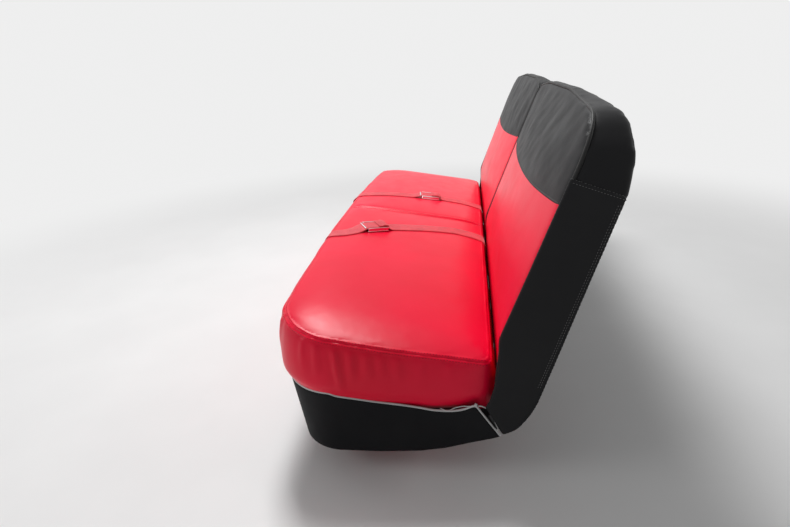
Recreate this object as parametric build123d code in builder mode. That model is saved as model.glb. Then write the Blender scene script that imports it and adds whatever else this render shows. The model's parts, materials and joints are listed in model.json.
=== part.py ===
from build123d import *
import math
import os

# Front bench seat of an open two-door car of about 1950, millimetres
# +X is the driver's side, the seat faces -Y, +Z is up
# The origin is the centre of the four floor bolts, on the floor

# Overall
half_width = 755.0
bight_y = 130.0
split_gap = 5.0
cushion_front = 429.0

# Floor bolts and tracks
bolt_spacing_x = 960.0
bolt_spacing_y = 380.0
bolt_hole_d = 11.0
foot_thickness = 4.0
foot_flange = 38.0
foot_seat = 42.0
track_bottom = 52.0
track_width = 44.0
track_height = 24.0
track_wall = 3.0
track_lip = 9.0
track_length = 340.0
slide_clearance = 0.3
slider_stem = 12.0
slider_top = 84.0
slider_flange = 4.0

# Cushion frame
frame_depth = 25.0
frame_height = 30.0
frame_wall = 3.0
frame_inset = 33.0
frame_half_width = half_width - frame_inset
frame_setback = 29.0
frame_front = cushion_front - frame_setback
frame_rear = 15.0
frame_corner_r = 90.0
runner_height = 32.0
runner_bottom = slider_top + slider_flange
frame_bottom = runner_bottom + runner_height
pad_bottom = frame_bottom + frame_height

# Springs under the cushion
spring_wire = 3.5
spring_count = 9
spring_pitch = 140.0
spring_width = 44.0
spring_bars = 11

# Track lock
link_behind = 190.0
link_r = 5.0
lever_width = 18.0
lever_thickness = 4.0
lever_out = 26.0
lever_bend = 300.0
lever_front = 370.0
lever_grip = 60.0
lever_bend_r = 20.0

# Cushion
cushion_inset = 14.0
cushion_half_width = half_width - cushion_inset
cushion_rear = 14.0
cushion_corner_r = 95.0
cushion_rear_corner_r = 20.0
welt_height_rear = 254.0
welt_height_front = 320.0
cushion_crown = 34.0
cushion_edge_r = 16.0
tuck_height = 178.0
tuck_front = 26.0
tuck_side = 3.0

# Shields round the base
shield_inset_top = 1.0
shield_inset_bottom = 15.0
shield_lead_top = 1.0
shield_setback_bottom = 33.0
shield_half_width_top = half_width - shield_inset_top
shield_half_width_bottom = half_width - shield_inset_bottom
shield_front_top = cushion_front + shield_lead_top
shield_front_bottom = cushion_front - shield_setback_bottom
shield_corner_r_top = 100.0
shield_corner_r_bottom = 80.0
shield_wall = 4.0
shield_low = 40.0
shield_high = 215.0
shield_foot_level = 260.0
shield_behind = 60.0
shield_joint_x = 560.0
clip_reach = 36.0
clip_width = 24.0
clip_height = 18.0
clip_side_y = (-150.0, -30.0, 70.0)
clip_front_x = (180.0, 600.0)

# Backs
pin_behind = 16.0
pin_height = 295.0
face_start = 2.0
face_bottom = 200.0
face_bend = 315.0
face_lean = 21.4
face_crown = 18.0
crown_low = 400.0
crown_fade = 79.0
crown_bend_r = 200.0
layer = 48.0
yoke_height = 556.0
shell_bottom = 135.0
back_top = 729.0
top_depth = 49.8
shell_top = back_top - 89.0
panel_thickness = 6.0
corner_r_outer = 90.0
corner_r_inner = 45.0
corner_height = back_top - 26.0
inner_top = back_top - 16.0
rise_x = 150.0
droop_x = 430.0
face_low_r = 20.0
face_bend_r = 120.0
top_front_r = 28.0
top_rear_r = 21.0
rear_bend_r = 60.0
rear_bend_low = 164.0
rear_bend_high = 117.0
rear_bend_step = 9.0
shell_toe_front = 30.0
shell_toe_rear = 40.0

# Hinges
bracket_thickness = 5.0
bracket_foot = 40.0
bracket_root = 26.0
arm_thickness = 4.5
arm_gap = 0.5
arm_root = 8.0
pin_r = 6.0
pin_clearance = 0.05
boss_r = 12.0
hinge_edge = 4.0
hinge_x = half_width - panel_thickness - hinge_edge - arm_thickness - arm_gap - bracket_thickness
pin_end_gap = 0.5
pocket_room = 5.0
pocket_side = 3.0

# Belts
belt_width = 48.0
belt_thickness = 2.0
belt_seat = 0.8
belt_root = 10.0
belt_left_rear_x = 129.0
belt_left_buckle_x = 205.0
belt_left_front_x = 262.0
belt_left_bend = 90.0
belt_left_buckle = 312.0
belt_right_rear_x = -206.0
belt_right_buckle_x = -198.0
belt_right_front_x = -155.0
belt_right_buckle = 186.0
belt_front_bend = cushion_front - 41.0
buckle_length = 62.0
buckle_width = 56.0
buckle_height = 13.0
buckle_corner_r = 8.0
buckle_edge = 3.0
buckle_gap = 0.8
belt_end_height = 252.0
tongue_width = 54.0
tongue_length = 46.0
tongue_thickness = 2.5
tongue_corner_r = 8.0
tongue_lap = 16.0
tongue_slot = 14.0
tongue_slot_width = 34.0


# Longer than the seat, for cutting blocks, and a little more than a cut needs
far = 2 * half_width
overshoot = 20.0


def face_y(height):
    "Distance behind the bight of the back's front border at a height"
    return face_start + max(0.0, height - face_bend) * math.tan(math.radians(face_lean))


def write(piece, name):
    "Label one finished piece and write it to its own file"
    piece.part.label = name
    export_step(piece.part, f"parts/{name}.step")


def write_pair(piece, stem):
    "Write a driver's side piece and its mirror image"
    write(piece, f"{stem}_left")
    with BuildPart() as other:
        mirror(piece.part, about=Plane.YZ)
    write(other, f"{stem}_right")


os.makedirs("parts", exist_ok=True)

track_x = bolt_spacing_x / 2
bolt_y = bolt_spacing_y / 2

# Lower track: a lipped channel that guides the slider
with BuildPart() as track_lower:
    with BuildSketch(Plane.XZ) as channel:
        with Locations((track_x, track_bottom + track_height / 2)):
            Rectangle(track_width, track_height)
            Rectangle(track_width - 2 * track_wall, track_height - 2 * track_wall, mode=Mode.SUBTRACT)
        with Locations((track_x, track_bottom + track_height)):
            Rectangle(track_width - 2 * track_wall - 2 * track_lip, 3 * track_wall, mode=Mode.SUBTRACT)
    extrude(amount=track_length / 2, both=True)
write_pair(track_lower, "track_lower")

# Feet: bent straps that carry the track and are bolted to the floor
with BuildPart() as feet:
    for end in (-1, 1):
        web_y = end * (bolt_y - foot_flange / 2)
        with BuildSketch(Plane.YZ.offset(track_x - track_width / 2)):
            with Locations((web_y, track_bottom / 2)):
                Rectangle(foot_thickness, track_bottom)
            with Locations((web_y + end * foot_flange / 2, foot_thickness / 2)):
                Rectangle(foot_flange, foot_thickness)
            with Locations((web_y - end * foot_seat / 2, track_bottom - foot_thickness / 2)):
                Rectangle(foot_seat, foot_thickness)
        extrude(amount=track_width)
    with Locations((track_x, bolt_y, foot_thickness), (track_x, -bolt_y, foot_thickness)):
        Hole(bolt_hole_d / 2, depth=foot_thickness)
write_pair(feet, "track_feet")

# Slider: a box section in the channel, with a stem and a flange above
shoe_width = track_width - 2 * track_wall - 2 * slide_clearance
shoe_height = track_height - 2 * track_wall - 2 * slide_clearance
shoe_bottom = track_bottom + track_wall + slide_clearance
with BuildPart() as slider:
    with BuildSketch(Plane.XZ):
        with Locations((track_x, shoe_bottom + shoe_height / 2)):
            Rectangle(shoe_width, shoe_height)
            Rectangle(shoe_width - 2 * track_wall, shoe_height - 2 * track_wall, mode=Mode.SUBTRACT)
        stem_bottom = shoe_bottom + shoe_height - track_wall
        with Locations((track_x, (stem_bottom + slider_top) / 2)):
            Rectangle(slider_stem, slider_top - stem_bottom)
        with Locations((track_x, slider_top + slider_flange / 2)):
            Rectangle(track_width, slider_flange)
    extrude(amount=track_length / 2, both=True)
write_pair(slider, "track_upper")

# Runner: a channel, open below, from the slider to the frame
with BuildPart() as runner:
    with BuildSketch(Plane.XY.offset(runner_bottom)):
        with Locations((track_x, bight_y - (frame_front + frame_rear) / 2)):
            Rectangle(track_width, frame_front - frame_rear)
    extrude(amount=runner_height)
    with BuildSketch(Plane.XY.offset(runner_bottom)):
        with Locations((track_x, bight_y - (frame_front + frame_rear) / 2)):
            Rectangle(track_width - 2 * track_wall, frame_front - frame_rear)
    extrude(amount=runner_height - track_wall, mode=Mode.SUBTRACT)
write_pair(runner, "frame_runner")

# Lock link: a rod between the two runners that works both track locks
link_y = bight_y - link_behind
link_z = runner_bottom + runner_height / 2
inner_wall_x = track_x - track_width / 2
with BuildPart() as link:
    with BuildSketch(Plane.YZ):
        with Locations((link_y, link_z)):
            Circle(link_r)
    extrude(amount=inner_wall_x, both=True)
write(link, "lock_link")

# Release lever: a flat bar from the driver's side runner to the front of the seat
lever_x = track_x + track_width / 2
with BuildPart() as lever:
    with BuildSketch(Plane.XY.offset(link_z - lever_thickness / 2)):
        with BuildLine():
            FilletPolyline(
                (lever_x, link_y),
                (lever_x + lever_out, link_y),
                (lever_x + lever_out, bight_y - lever_bend),
                (lever_x + lever_grip, bight_y - lever_front),
                radius=lever_bend_r,
            )
        trace(line_width=lever_width)
    extrude(amount=lever_thickness)
    with BuildSketch(Plane.YZ.offset(lever_x)):
        with Locations((link_y, link_z)):
            Rectangle(far, far)
    extrude(amount=far, mode=Mode.INTERSECT)
write(lever, "release_lever")

# Cushion frame: a channel, open below, cut into straight rails and front corners
frame_front_y = bight_y - frame_front
frame_rear_y = bight_y - frame_rear
corner_x = frame_half_width - frame_corner_r
corner_y = frame_front_y + frame_corner_r
rear_inner_y = frame_rear_y - frame_depth


def frame_outline(inset):
    "Plan of the cushion frame, inset from its outer edge"
    width = 2 * (frame_half_width - inset)
    front = frame_front_y + inset
    rear = frame_rear_y - inset
    with BuildSketch(mode=Mode.PRIVATE) as plan:
        with Locations((0, (front + rear) / 2)):
            Rectangle(width, rear - front)
        fillet(plan.vertices().group_by(Axis.Y)[0], frame_corner_r - inset)
    return plan.sketch


# name, lowest x, highest x, lowest y, highest y
frame_pieces = [
    ("frame_front", -corner_x, corner_x, frame_front_y, corner_y),
    ("frame_corner_left", corner_x, far, frame_front_y, corner_y),
    ("frame_corner_right", -far, -corner_x, frame_front_y, corner_y),
    ("frame_side_left", corner_x, far, corner_y, rear_inner_y),
    ("frame_side_right", -far, -corner_x, corner_y, rear_inner_y),
    ("frame_rear", -far, far, rear_inner_y, frame_rear_y),
]
for name, x_low, x_high, y_low, y_high in frame_pieces:
    with BuildPart() as rail:
        with BuildSketch(Plane.XY.offset(frame_bottom)):
            add(frame_outline(0))
            add(frame_outline(frame_depth), mode=Mode.SUBTRACT)
        extrude(amount=frame_height)
        with BuildSketch(Plane.XY.offset(frame_bottom)):
            add(frame_outline(frame_wall))
            add(frame_outline(frame_depth - frame_wall), mode=Mode.SUBTRACT)
        extrude(amount=frame_height - frame_wall, mode=Mode.SUBTRACT)
        with BuildSketch(Plane.XY.offset(frame_bottom)):
            with Locations(((x_low + x_high) / 2, (y_low + y_high) / 2)):
                Rectangle(x_high - x_low, y_high - y_low)
        extrude(amount=frame_height, mode=Mode.INTERSECT)
    write(rail, name)

# Springs: zigzag wires from the front rail to the rear rail, under the cushion
spring_front_y = frame_front_y + frame_depth
spring_step = (rear_inner_y - spring_front_y) / (spring_bars + 1)
with BuildPart() as springs:
    with BuildSketch(Plane.XY.offset(pad_bottom - spring_wire)):
        for row in range(spring_count):
            spring_x = (row - (spring_count - 1) / 2) * spring_pitch
            side = spring_width / 2
            bends = [(spring_x + side, rear_inner_y)]
            for bar in range(1, spring_bars + 1):
                bar_y = rear_inner_y - bar * spring_step
                bends.append((spring_x + side, bar_y))
                side = -side
                bends.append((spring_x + side, bar_y))
            bends.append((spring_x + side, spring_front_y))
            with BuildLine():
                Polyline(*bends)
            trace(line_width=spring_wire)
    extrude(amount=spring_wire)
write(springs, "springs")

# Cushion: a crowned top that rises to the front, cut to the plan and rounded
welt_slope = (welt_height_front - welt_height_rear) / cushion_front
cushion_rear_y = bight_y - cushion_rear
cushion_length = cushion_front - cushion_rear


def welt_height(behind):
    "Height of the cushion's side welt at a distance behind the bight"
    return welt_height_rear - behind * welt_slope


def crown_height(x, behind):
    "Height of the cushion's crowned top"
    radius = (cushion_half_width**2 + cushion_crown**2) / (2 * cushion_crown)
    return welt_height(behind) + cushion_crown - radius + math.sqrt(radius**2 - x**2)


block_x = cushion_half_width + overshoot
block_rear = cushion_rear - overshoot
block_plane = Plane(
    origin=(0, bight_y - block_rear, 0),
    x_dir=(1, 0, 0),
    z_dir=(0, -1, welt_slope),
)
block_low = -2 * overshoot
block_edge = crown_height(block_x, -block_rear) * math.cos(math.atan(welt_slope))
block_middle = crown_height(0, -block_rear) * math.cos(math.atan(welt_slope))
block_length = cushion_length + 6 * overshoot


def crown_section(rise):
    "Section across the seat with an arched top, raised above the cushion's own"
    with BuildSketch(block_plane) as section:
        with BuildLine():
            Polyline(
                (block_x, block_edge + rise),
                (block_x, block_low),
                (-block_x, block_low),
                (-block_x, block_edge + rise),
            )
            ThreePointArc(
                (-block_x, block_edge + rise),
                (0, block_middle + rise),
                (block_x, block_edge + rise),
            )
        make_face()
    return section.sketch


with BuildPart() as cushion:
    extrude(crown_section(0), amount=block_length)
    with BuildSketch(Plane.XY.offset(tuck_height)) as plan:
        with Locations((0, cushion_rear_y - cushion_length / 2)):
            Rectangle(2 * cushion_half_width, cushion_length)
        fillet(plan.vertices().group_by(Axis.Y)[0], cushion_corner_r)
        fillet(plan.vertices().group_by(Axis.Y)[-1], cushion_rear_corner_r)
    extrude(amount=welt_height_front, mode=Mode.INTERSECT)
    fillet(cushion.faces().sort_by(Axis.Z)[-1].edges(), cushion_edge_r)
    with BuildSketch(Plane.XY.offset(pad_bottom)) as tuck:
        with Locations((0, cushion_rear_y - (cushion_length - tuck_front) / 2)):
            Rectangle(2 * (cushion_half_width - tuck_side), cushion_length - tuck_front)
        fillet(tuck.vertices().group_by(Axis.Y)[0], cushion_corner_r)
        fillet(tuck.vertices().group_by(Axis.Y)[-1], cushion_rear_corner_r)
    extrude(amount=tuck_height - pad_bottom)
write(cushion, "cushion")

# Lap belts: out of the bight, over the cushion to a buckle, and down over the front edge
belt_low = pad_bottom + belt_root


def belt_layer(gap):
    "The cushion's top, front and rear, grown by a gap"
    with BuildPart(mode=Mode.PRIVATE) as body:
        extrude(crown_section(gap), amount=block_length)
        with BuildSketch(Plane.XY.offset(belt_low)):
            with Locations((0, cushion_rear_y - cushion_length / 2)):
                Rectangle(2 * cushion_half_width, cushion_length + 2 * gap)
        extrude(amount=welt_height_front, mode=Mode.INTERSECT)
        rim = body.faces().sort_by(Axis.Z)[-1].edges().group_by(Axis.Y)
        fillet(rim[0] + rim[-1], cushion_edge_r + gap)
    return body.part


def belt_point(x, ahead):
    "Plan point at a distance ahead of the bight"
    return (x, bight_y - ahead)


# side, x at the rear, x and distance ahead of the bight at the bends, x at the front, buckle's bend
belts = [
    (
        "left",
        belt_left_rear_x,
        [
            (belt_left_rear_x, belt_left_bend),
            (belt_left_buckle_x, belt_left_buckle),
            (belt_left_front_x, belt_front_bend),
        ],
        belt_left_front_x,
        1,
    ),
    (
        "right",
        belt_right_rear_x,
        [(belt_right_buckle_x, belt_right_buckle), (belt_right_front_x, belt_front_bend)],
        belt_right_front_x,
        0,
    ),
]
belt_outer = belt_layer(belt_seat + belt_thickness)
belt_inner = belt_layer(belt_seat)
for side, x_rear, bends, x_front, buckle_bend in belts:
    course = [
        belt_point(x_rear, 0),
        *[belt_point(*bend) for bend in bends],
        belt_point(x_front, cushion_front + overshoot),
    ]
    with BuildPart() as strap:
        with BuildSketch(Plane.XY.offset(belt_low)):
            with BuildLine():
                Polyline(*course)
            trace(line_width=belt_width)
        extrude(amount=welt_height_front)
        add(belt_outer, mode=Mode.INTERSECT)
        add(belt_inner, mode=Mode.SUBTRACT)
        with Locations((x_front, course[-1][1], belt_end_height)):
            Box(
                2 * belt_width,
                4 * overshoot,
                far,
                align=(Align.CENTER, Align.CENTER, Align.MAX),
                mode=Mode.SUBTRACT,
            )
    write(strap, f"belt_{side}")
    at, toward = bends[buckle_bend], bends[buckle_bend + 1]
    level = crown_height(at[0], -at[1])
    rise = crown_height(toward[0], -toward[1]) - level
    along = Vector(toward[0] - at[0], at[1] - toward[1], rise).normalized()
    across = Vector(along.Y, -along.X, welt_slope * along.X).normalized()
    seat = level + belt_seat + belt_thickness + buckle_gap
    buckle_plane = Plane(origin=(*belt_point(*at), seat), x_dir=along, z_dir=across.cross(along))
    with BuildPart() as buckle:
        with BuildSketch(buckle_plane):
            RectangleRounded(buckle_length, buckle_width, buckle_corner_r)
        extrude(amount=buckle_height)
        chamfer(buckle.faces().sort_by(Axis.Z)[-1].edges(), buckle_edge)
    write(buckle, f"buckle_{side}")

# Tongue: a slotted plate on the end of the passenger's belt
tongue_x = belts[-1][3]
tongue_y = bight_y - cushion_front - belt_seat - belt_thickness
with BuildPart() as tongue:
    with BuildSketch(Plane.XZ.offset(-tongue_y)):
        with Locations((tongue_x, belt_end_height + tongue_lap - tongue_length / 2)):
            RectangleRounded(tongue_width, tongue_length, tongue_corner_r)
        with Locations((tongue_x, belt_end_height + tongue_lap - tongue_length + tongue_slot)):
            RectangleRounded(tongue_slot_width, tongue_slot, tongue_slot / 3, mode=Mode.SUBTRACT)
    extrude(amount=tongue_thickness)
write(tongue, "tongue_right")

# Shields: one tapered skirt, cut by its side view and into side and front pieces
shield_rear_y = bight_y + shield_behind
slot_top = (-39.0, 172.0)
slot_foot = (7.0, 111.0)
slot_gap = 5.0
slot_length = math.dist(slot_top, slot_foot)
slot_normal = (
    (slot_top[1] - slot_foot[1]) / slot_length,
    (slot_foot[0] - slot_top[0]) / slot_length,
)


def beside_slot(point, distance):
    "A point of the slot moved across it, towards the back if positive"
    return (
        point[0] + distance * slot_normal[0],
        point[1] + distance * slot_normal[1],
    )


def seat_point(point):
    "A point given as behind the bight and height, in the YZ plane"
    return (bight_y + point[0], point[1])


def shield_section(height, half, front, corner, inset):
    "Plan of the skirt at one height"
    with BuildSketch(Plane.XY.offset(height)) as section:
        low_y = bight_y - front + inset
        with Locations((0, (low_y + shield_rear_y) / 2)):
            Rectangle(2 * (half - inset), shield_rear_y - low_y)
        fillet(section.vertices().group_by(Axis.Y)[0], corner - inset)
    return section.sketch.faces()[0]


# behind the bight, height
shield_top_edge = [(-99, 154), (-177, 163), (-307, 174), (-372, 177)]
shield_bottom_edge = [(-206, 43), (-138, 49), (-77, 62), (-30, 82)]
with BuildPart() as skirt:
    for inset, mode in ((0, Mode.ADD), (shield_wall, Mode.SUBTRACT)):
        low = shield_section(
            shield_low, shield_half_width_bottom, shield_front_bottom, shield_corner_r_bottom, inset
        )
        high = shield_section(
            shield_high, shield_half_width_top, shield_front_top, shield_corner_r_top, inset
        )
        loft([low, high], ruled=True, mode=mode)
    with BuildSketch(Plane.YZ):
        with BuildLine():
            Polyline(
                seat_point(beside_slot(slot_top, -slot_gap / 2)),
                *[seat_point(point) for point in shield_top_edge],
                seat_point((-far, shield_top_edge[-1][1])),
                seat_point((-far, shield_low)),
                seat_point((-shield_foot_level, shield_low)),
                *[seat_point(point) for point in shield_bottom_edge],
                seat_point(beside_slot(slot_foot, -slot_gap / 2)),
                close=True,
            )
        make_face()
    extrude(amount=far, both=True, mode=Mode.INTERSECT)

# name, lowest x, highest x
shield_pieces = [
    ("shield_left", shield_joint_x, far),
    ("valance_front", -shield_joint_x, shield_joint_x),
    ("shield_right", -far, -shield_joint_x),
]
for name, x_low, x_high in shield_pieces:
    with BuildPart() as shield:
        add(skirt)
        with BuildSketch(Plane.XY):
            with Locations(((x_low + x_high) / 2, bight_y)):
                Rectangle(x_high - x_low, far)
        extrude(amount=far, mode=Mode.INTERSECT)
    write(shield, name)

# Shield clips: blocks that hold the skirt off the cushion frame
clip_z = frame_bottom + frame_height / 2
# x, y, size along x, size along y
clip_places = [
    (frame_half_width + clip_reach / 2, y, clip_reach, clip_width) for y in clip_side_y
] + [
    (x, frame_front_y - clip_reach / 2, clip_width, clip_reach) for x in clip_front_x
]
with BuildPart() as clips:
    for x, y, size_x, size_y in clip_places:
        with Locations((x, y, clip_z), (-x, y, clip_z)):
            Box(size_x, size_y, clip_height)
    low = shield_section(
        shield_low, shield_half_width_bottom, shield_front_bottom, shield_corner_r_bottom, shield_wall
    )
    high = shield_section(
        shield_high, shield_half_width_top, shield_front_top, shield_corner_r_top, shield_wall
    )
    loft([low, high], ruled=True, mode=Mode.INTERSECT)
write(clips, "shield_clips")

# Hinge pins: one beside each end of the seat and one on the middle line
pin_y = bight_y + pin_behind
pin_reach = arm_gap + arm_thickness
pin_end = bracket_thickness / 2 + pin_reach - pin_end_gap
bracket_x = hinge_x + bracket_thickness / 2
foot_edge = bracket_thickness / 2
# name, x of the plate's middle, and from there the ends of the pin and of the foot
brackets = [
    ("hinge_bracket_left", bracket_x, 0, pin_end, foot_edge - bracket_foot, foot_edge),
    ("hinge_bracket_centre", 0, -pin_end, pin_end, -bracket_foot / 2, bracket_foot / 2),
    ("hinge_bracket_right", -bracket_x, -pin_end, 0, -foot_edge, bracket_foot - foot_edge),
]
for name, plate_x, pin_low, pin_high, foot_low, foot_high in brackets:
    with BuildPart() as bracket:
        with BuildSketch(Plane.YZ.offset(plate_x)):
            with Locations((pin_y, pin_height)):
                Circle(boss_r)
            with Locations((frame_rear_y + foot_thickness + bracket_root / 2, pad_bottom - frame_height / 2)):
                Rectangle(bracket_root, frame_height)
            make_hull()
        extrude(amount=bracket_thickness / 2, both=True)
        with BuildSketch(Plane.XZ.offset(-frame_rear_y)):
            with Locations((plate_x + (foot_low + foot_high) / 2, pad_bottom - frame_height / 2)):
                Rectangle(foot_high - foot_low, frame_height)
        extrude(amount=-foot_thickness)
        with BuildSketch(Plane.YZ.offset(plate_x + pin_low)):
            with Locations((pin_y, pin_height)):
                Circle(pin_r)
        extrude(amount=pin_high - pin_low)
    write(bracket, name)

# Hinge arms: from the pin to the back's shell
shell_front_y = bight_y + face_start + layer
# name, x of the plate's inner face
arms = [
    ("hinge_arm_outer", hinge_x + bracket_thickness + arm_gap),
    ("hinge_arm_inner", bracket_thickness / 2 + arm_gap),
]
for name, plate_x in arms:
    with BuildPart() as arm:
        with BuildSketch(Plane.YZ.offset(plate_x)):
            with Locations((pin_y, pin_height)):
                Circle(boss_r)
            with Locations((shell_front_y - arm_root / 2, pin_height)):
                Rectangle(arm_root, 2 * boss_r)
            make_hull()
            with Locations((pin_y, pin_height)):
                Circle(pin_r + pin_clearance, mode=Mode.SUBTRACT)
        extrude(amount=arm_thickness)
    write_pair(arm, name)

# Back: pieces with their own side view, all cut by one front outline
back_rear_top = face_y(back_top) + top_depth
back_rear_low = (81.0, 215.0)
back_rear_bend = (back_rear_top - rear_bend_step, back_top - rear_bend_low)
back_rear_high = (back_rear_top, back_top - rear_bend_high)
crown_high = back_top - crown_fade
outline_inner = split_gap / 2
panel_x = half_width - panel_thickness
pocket_rear = shell_front_y


def front_outline():
    "Front view of the left half, from the split to the outer side"
    with BuildSketch(Plane.XZ) as outline:
        with BuildLine():
            Polyline(
                (outline_inner, inner_top),
                (outline_inner, 0),
                (half_width, 0),
                (half_width, corner_height),
                (droop_x, back_top),
                (rise_x, back_top),
                close=True,
            )
        make_face()
        fillet(outline.vertices().sort_by_distance((half_width, corner_height))[0], corner_r_outer)
        fillet(outline.vertices().sort_by_distance((outline_inner, inner_top))[0], corner_r_inner)
    return outline.sketch


def crowned(height):
    "Point of the side view on the crown of the back's front, midway across the half"
    return (face_y(height) - face_crown / math.cos(math.radians(face_lean)), height)


def crown_block():
    "A block with an arched front that lies along the leaning face of the left back"
    lean = math.radians(face_lean)
    front_plane = Plane(
        origin=(0, *seat_point((face_start, face_bend))),
        x_dir=(1, 0, 0),
        z_dir=(0, math.sin(lean), math.cos(lean)),
    )
    with BuildPart(mode=Mode.PRIVATE) as block:
        with BuildSketch(front_plane):
            with BuildLine():
                ThreePointArc(
                    (outline_inner, 0),
                    ((outline_inner + panel_x) / 2, -face_crown),
                    (panel_x, 0),
                )
                Polyline((panel_x, 0), (panel_x, far), (outline_inner, far), (outline_inner, 0))
            make_face()
        extrude(amount=far, both=True)
    return block.part


def back_piece(points, x_low, x_high, rounds, pockets):
    "One piece of the left back from its side view, with rounded corners"
    with BuildPart() as piece:
        with BuildSketch(Plane.YZ.offset(x_low)) as side:
            with BuildLine():
                Polyline(*[seat_point(point) for point in points], close=True)
            make_face()
            for point, radius in rounds:
                fillet(side.vertices().sort_by_distance(seat_point(point))[0], radius)
        extrude(amount=x_high - x_low)
        extrude(front_outline(), amount=far, both=True, mode=Mode.INTERSECT)
        if pockets:
            inner_wall = hinge_x - pocket_side
            outer_wall = hinge_x + bracket_thickness + pin_reach
            for low, high in ((0, bracket_thickness / 2 + pin_reach), (inner_wall, outer_wall)):
                with BuildSketch(Plane.XY):
                    with Locations(((low + high) / 2, pocket_rear - far / 2)):
                        Rectangle(high - low, far)
                extrude(amount=pin_height + boss_r + pocket_room, mode=Mode.SUBTRACT)
    return piece


face_top = (face_y(yoke_height), yoke_height)
layer_low = (face_start + layer, face_bottom)
layer_bend = (face_start + layer, face_bend)
layer_top = (face_y(yoke_height) + layer, yoke_height)
layer_shell = (face_y(shell_top) + layer, shell_top)
top_front = (face_y(back_top), back_top)
top_rear = (back_rear_top, back_top)
front_low = (face_start, face_bottom)
front_bend = (face_start, face_bend)

face = back_piece(
    [front_low, front_bend, crowned(crown_low), crowned(yoke_height), layer_top, layer_bend, layer_low],
    outline_inner,
    panel_x,
    [(front_low, face_low_r), (front_bend, face_bend_r), (crowned(crown_low), crown_bend_r)],
    True,
)
with face:
    add(crown_block(), mode=Mode.INTERSECT)
write_pair(face, "back_face")

yoke = back_piece(
    [
        crowned(yoke_height),
        crowned(crown_high),
        top_front,
        top_rear,
        (back_rear_top, shell_top),
        layer_shell,
        layer_top,
    ],
    outline_inner,
    panel_x,
    [(crowned(crown_high), crown_bend_r), (top_front, top_front_r), (top_rear, top_rear_r)],
    False,
)
with yoke:
    add(crown_block(), mode=Mode.INTERSECT)
write_pair(yoke, "back_yoke")

shell_front_low = (shell_toe_front, shell_bottom)
shell_rear_low = (shell_toe_rear, shell_bottom)
panel_low_rear = (66.0, 173.0)
panel_front_high = (face_start, 262.0)
panel_front_low = (-7.0, 219.0)
panel_nose = (-21.0, 187.0)
panel_toe = (35.0, 129.0)
shell = back_piece(
    [
        layer_low,
        layer_bend,
        layer_top,
        layer_shell,
        (back_rear_top, shell_top),
        back_rear_high,
        back_rear_bend,
        back_rear_low,
        panel_low_rear,
        shell_rear_low,
        shell_front_low,
        (shell_toe_front, face_bottom),
    ],
    outline_inner,
    panel_x,
    [(back_rear_bend, rear_bend_r)],
    True,
)
write_pair(shell, "back_shell")

panel = back_piece(
    [
        beside_slot(slot_top, slot_gap / 2),
        panel_nose,
        panel_front_low,
        panel_front_high,
        front_bend,
        face_top,
        top_front,
        top_rear,
        back_rear_high,
        back_rear_bend,
        back_rear_low,
        panel_low_rear,
        panel_toe,
        beside_slot(slot_foot, slot_gap / 2),
    ],
    panel_x,
    half_width,
    [(back_rear_bend, rear_bend_r), (front_bend, face_bend_r)],
    False,
)
write_pair(panel, "back_panel")
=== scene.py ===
import json
import math
from contextlib import contextmanager

import bmesh
import bpy
import numpy as np
from mathutils import Matrix, Vector, noise
from mathutils.bvhtree import BVHTree
from mathutils.kdtree import KDTree


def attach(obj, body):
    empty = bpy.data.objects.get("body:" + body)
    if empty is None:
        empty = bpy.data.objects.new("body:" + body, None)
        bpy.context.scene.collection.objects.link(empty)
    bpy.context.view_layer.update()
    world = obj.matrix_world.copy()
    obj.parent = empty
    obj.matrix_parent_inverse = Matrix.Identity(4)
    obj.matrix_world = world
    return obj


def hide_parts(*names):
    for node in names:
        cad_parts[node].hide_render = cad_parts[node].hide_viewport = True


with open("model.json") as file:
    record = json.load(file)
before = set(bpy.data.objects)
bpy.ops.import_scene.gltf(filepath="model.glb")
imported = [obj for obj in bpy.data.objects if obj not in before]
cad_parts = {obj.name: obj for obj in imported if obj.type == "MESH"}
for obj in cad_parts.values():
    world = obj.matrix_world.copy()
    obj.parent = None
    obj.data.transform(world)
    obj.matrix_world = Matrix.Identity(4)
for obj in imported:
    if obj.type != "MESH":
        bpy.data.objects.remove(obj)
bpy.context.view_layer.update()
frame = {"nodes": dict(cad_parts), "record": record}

nodes = frame["nodes"]
scene = bpy.context.scene

# Places shared with the CAD, in metres; "behind" is the distance behind the bight
BIGHT = 0.130
HALF_WIDTH = 0.755
SPLIT = 0.0025
CUSHION_HALF = 0.741
CUSHION_FRONT = 0.429
CUSHION_REAR = 0.006
CUSHION_LOW = 0.150
WELT_REAR = 0.254
WELT_SLOPE = 0.066 / 0.429
FACE_START = 0.002
FACE_BEND = 0.315
FACE_SLOPE = math.tan(math.radians(21.4))


# Small tools for meshes

def put(item, **values):
    "Set an item's properties"
    for name, value in values.items():
        setattr(item, name, value)
    return item


def link(name, data):
    "A new object of the scene that holds a mesh, a camera or a lamp"
    obj = bpy.data.objects.new(name, data)
    scene.collection.objects.link(obj)
    return obj


def mesh_object(name, points, faces):
    "An object from a list of points and a list of faces"
    mesh = bpy.data.meshes.new(name)
    mesh.from_pydata([tuple(p) for p in points], [], faces)
    mesh.update()
    return link(name, mesh)


def coordinates(mesh):
    "The places of a mesh's vertices, as an array"
    co = np.empty(len(mesh.vertices) * 3)
    mesh.vertices.foreach_get("co", co)
    return co.reshape(-1, 3)


def set_coordinates(mesh, co):
    "Give a mesh's vertices new places"
    mesh.vertices.foreach_set("co", np.asarray(co, float).ravel())
    mesh.update()


def bake(obj):
    "Apply an object's modifiers"
    mesh = bpy.data.meshes.new_from_object(obj.evaluated_get(bpy.context.evaluated_depsgraph_get()))
    old = obj.data
    obj.modifiers.clear()
    obj.data = mesh
    bpy.data.meshes.remove(old)


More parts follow.
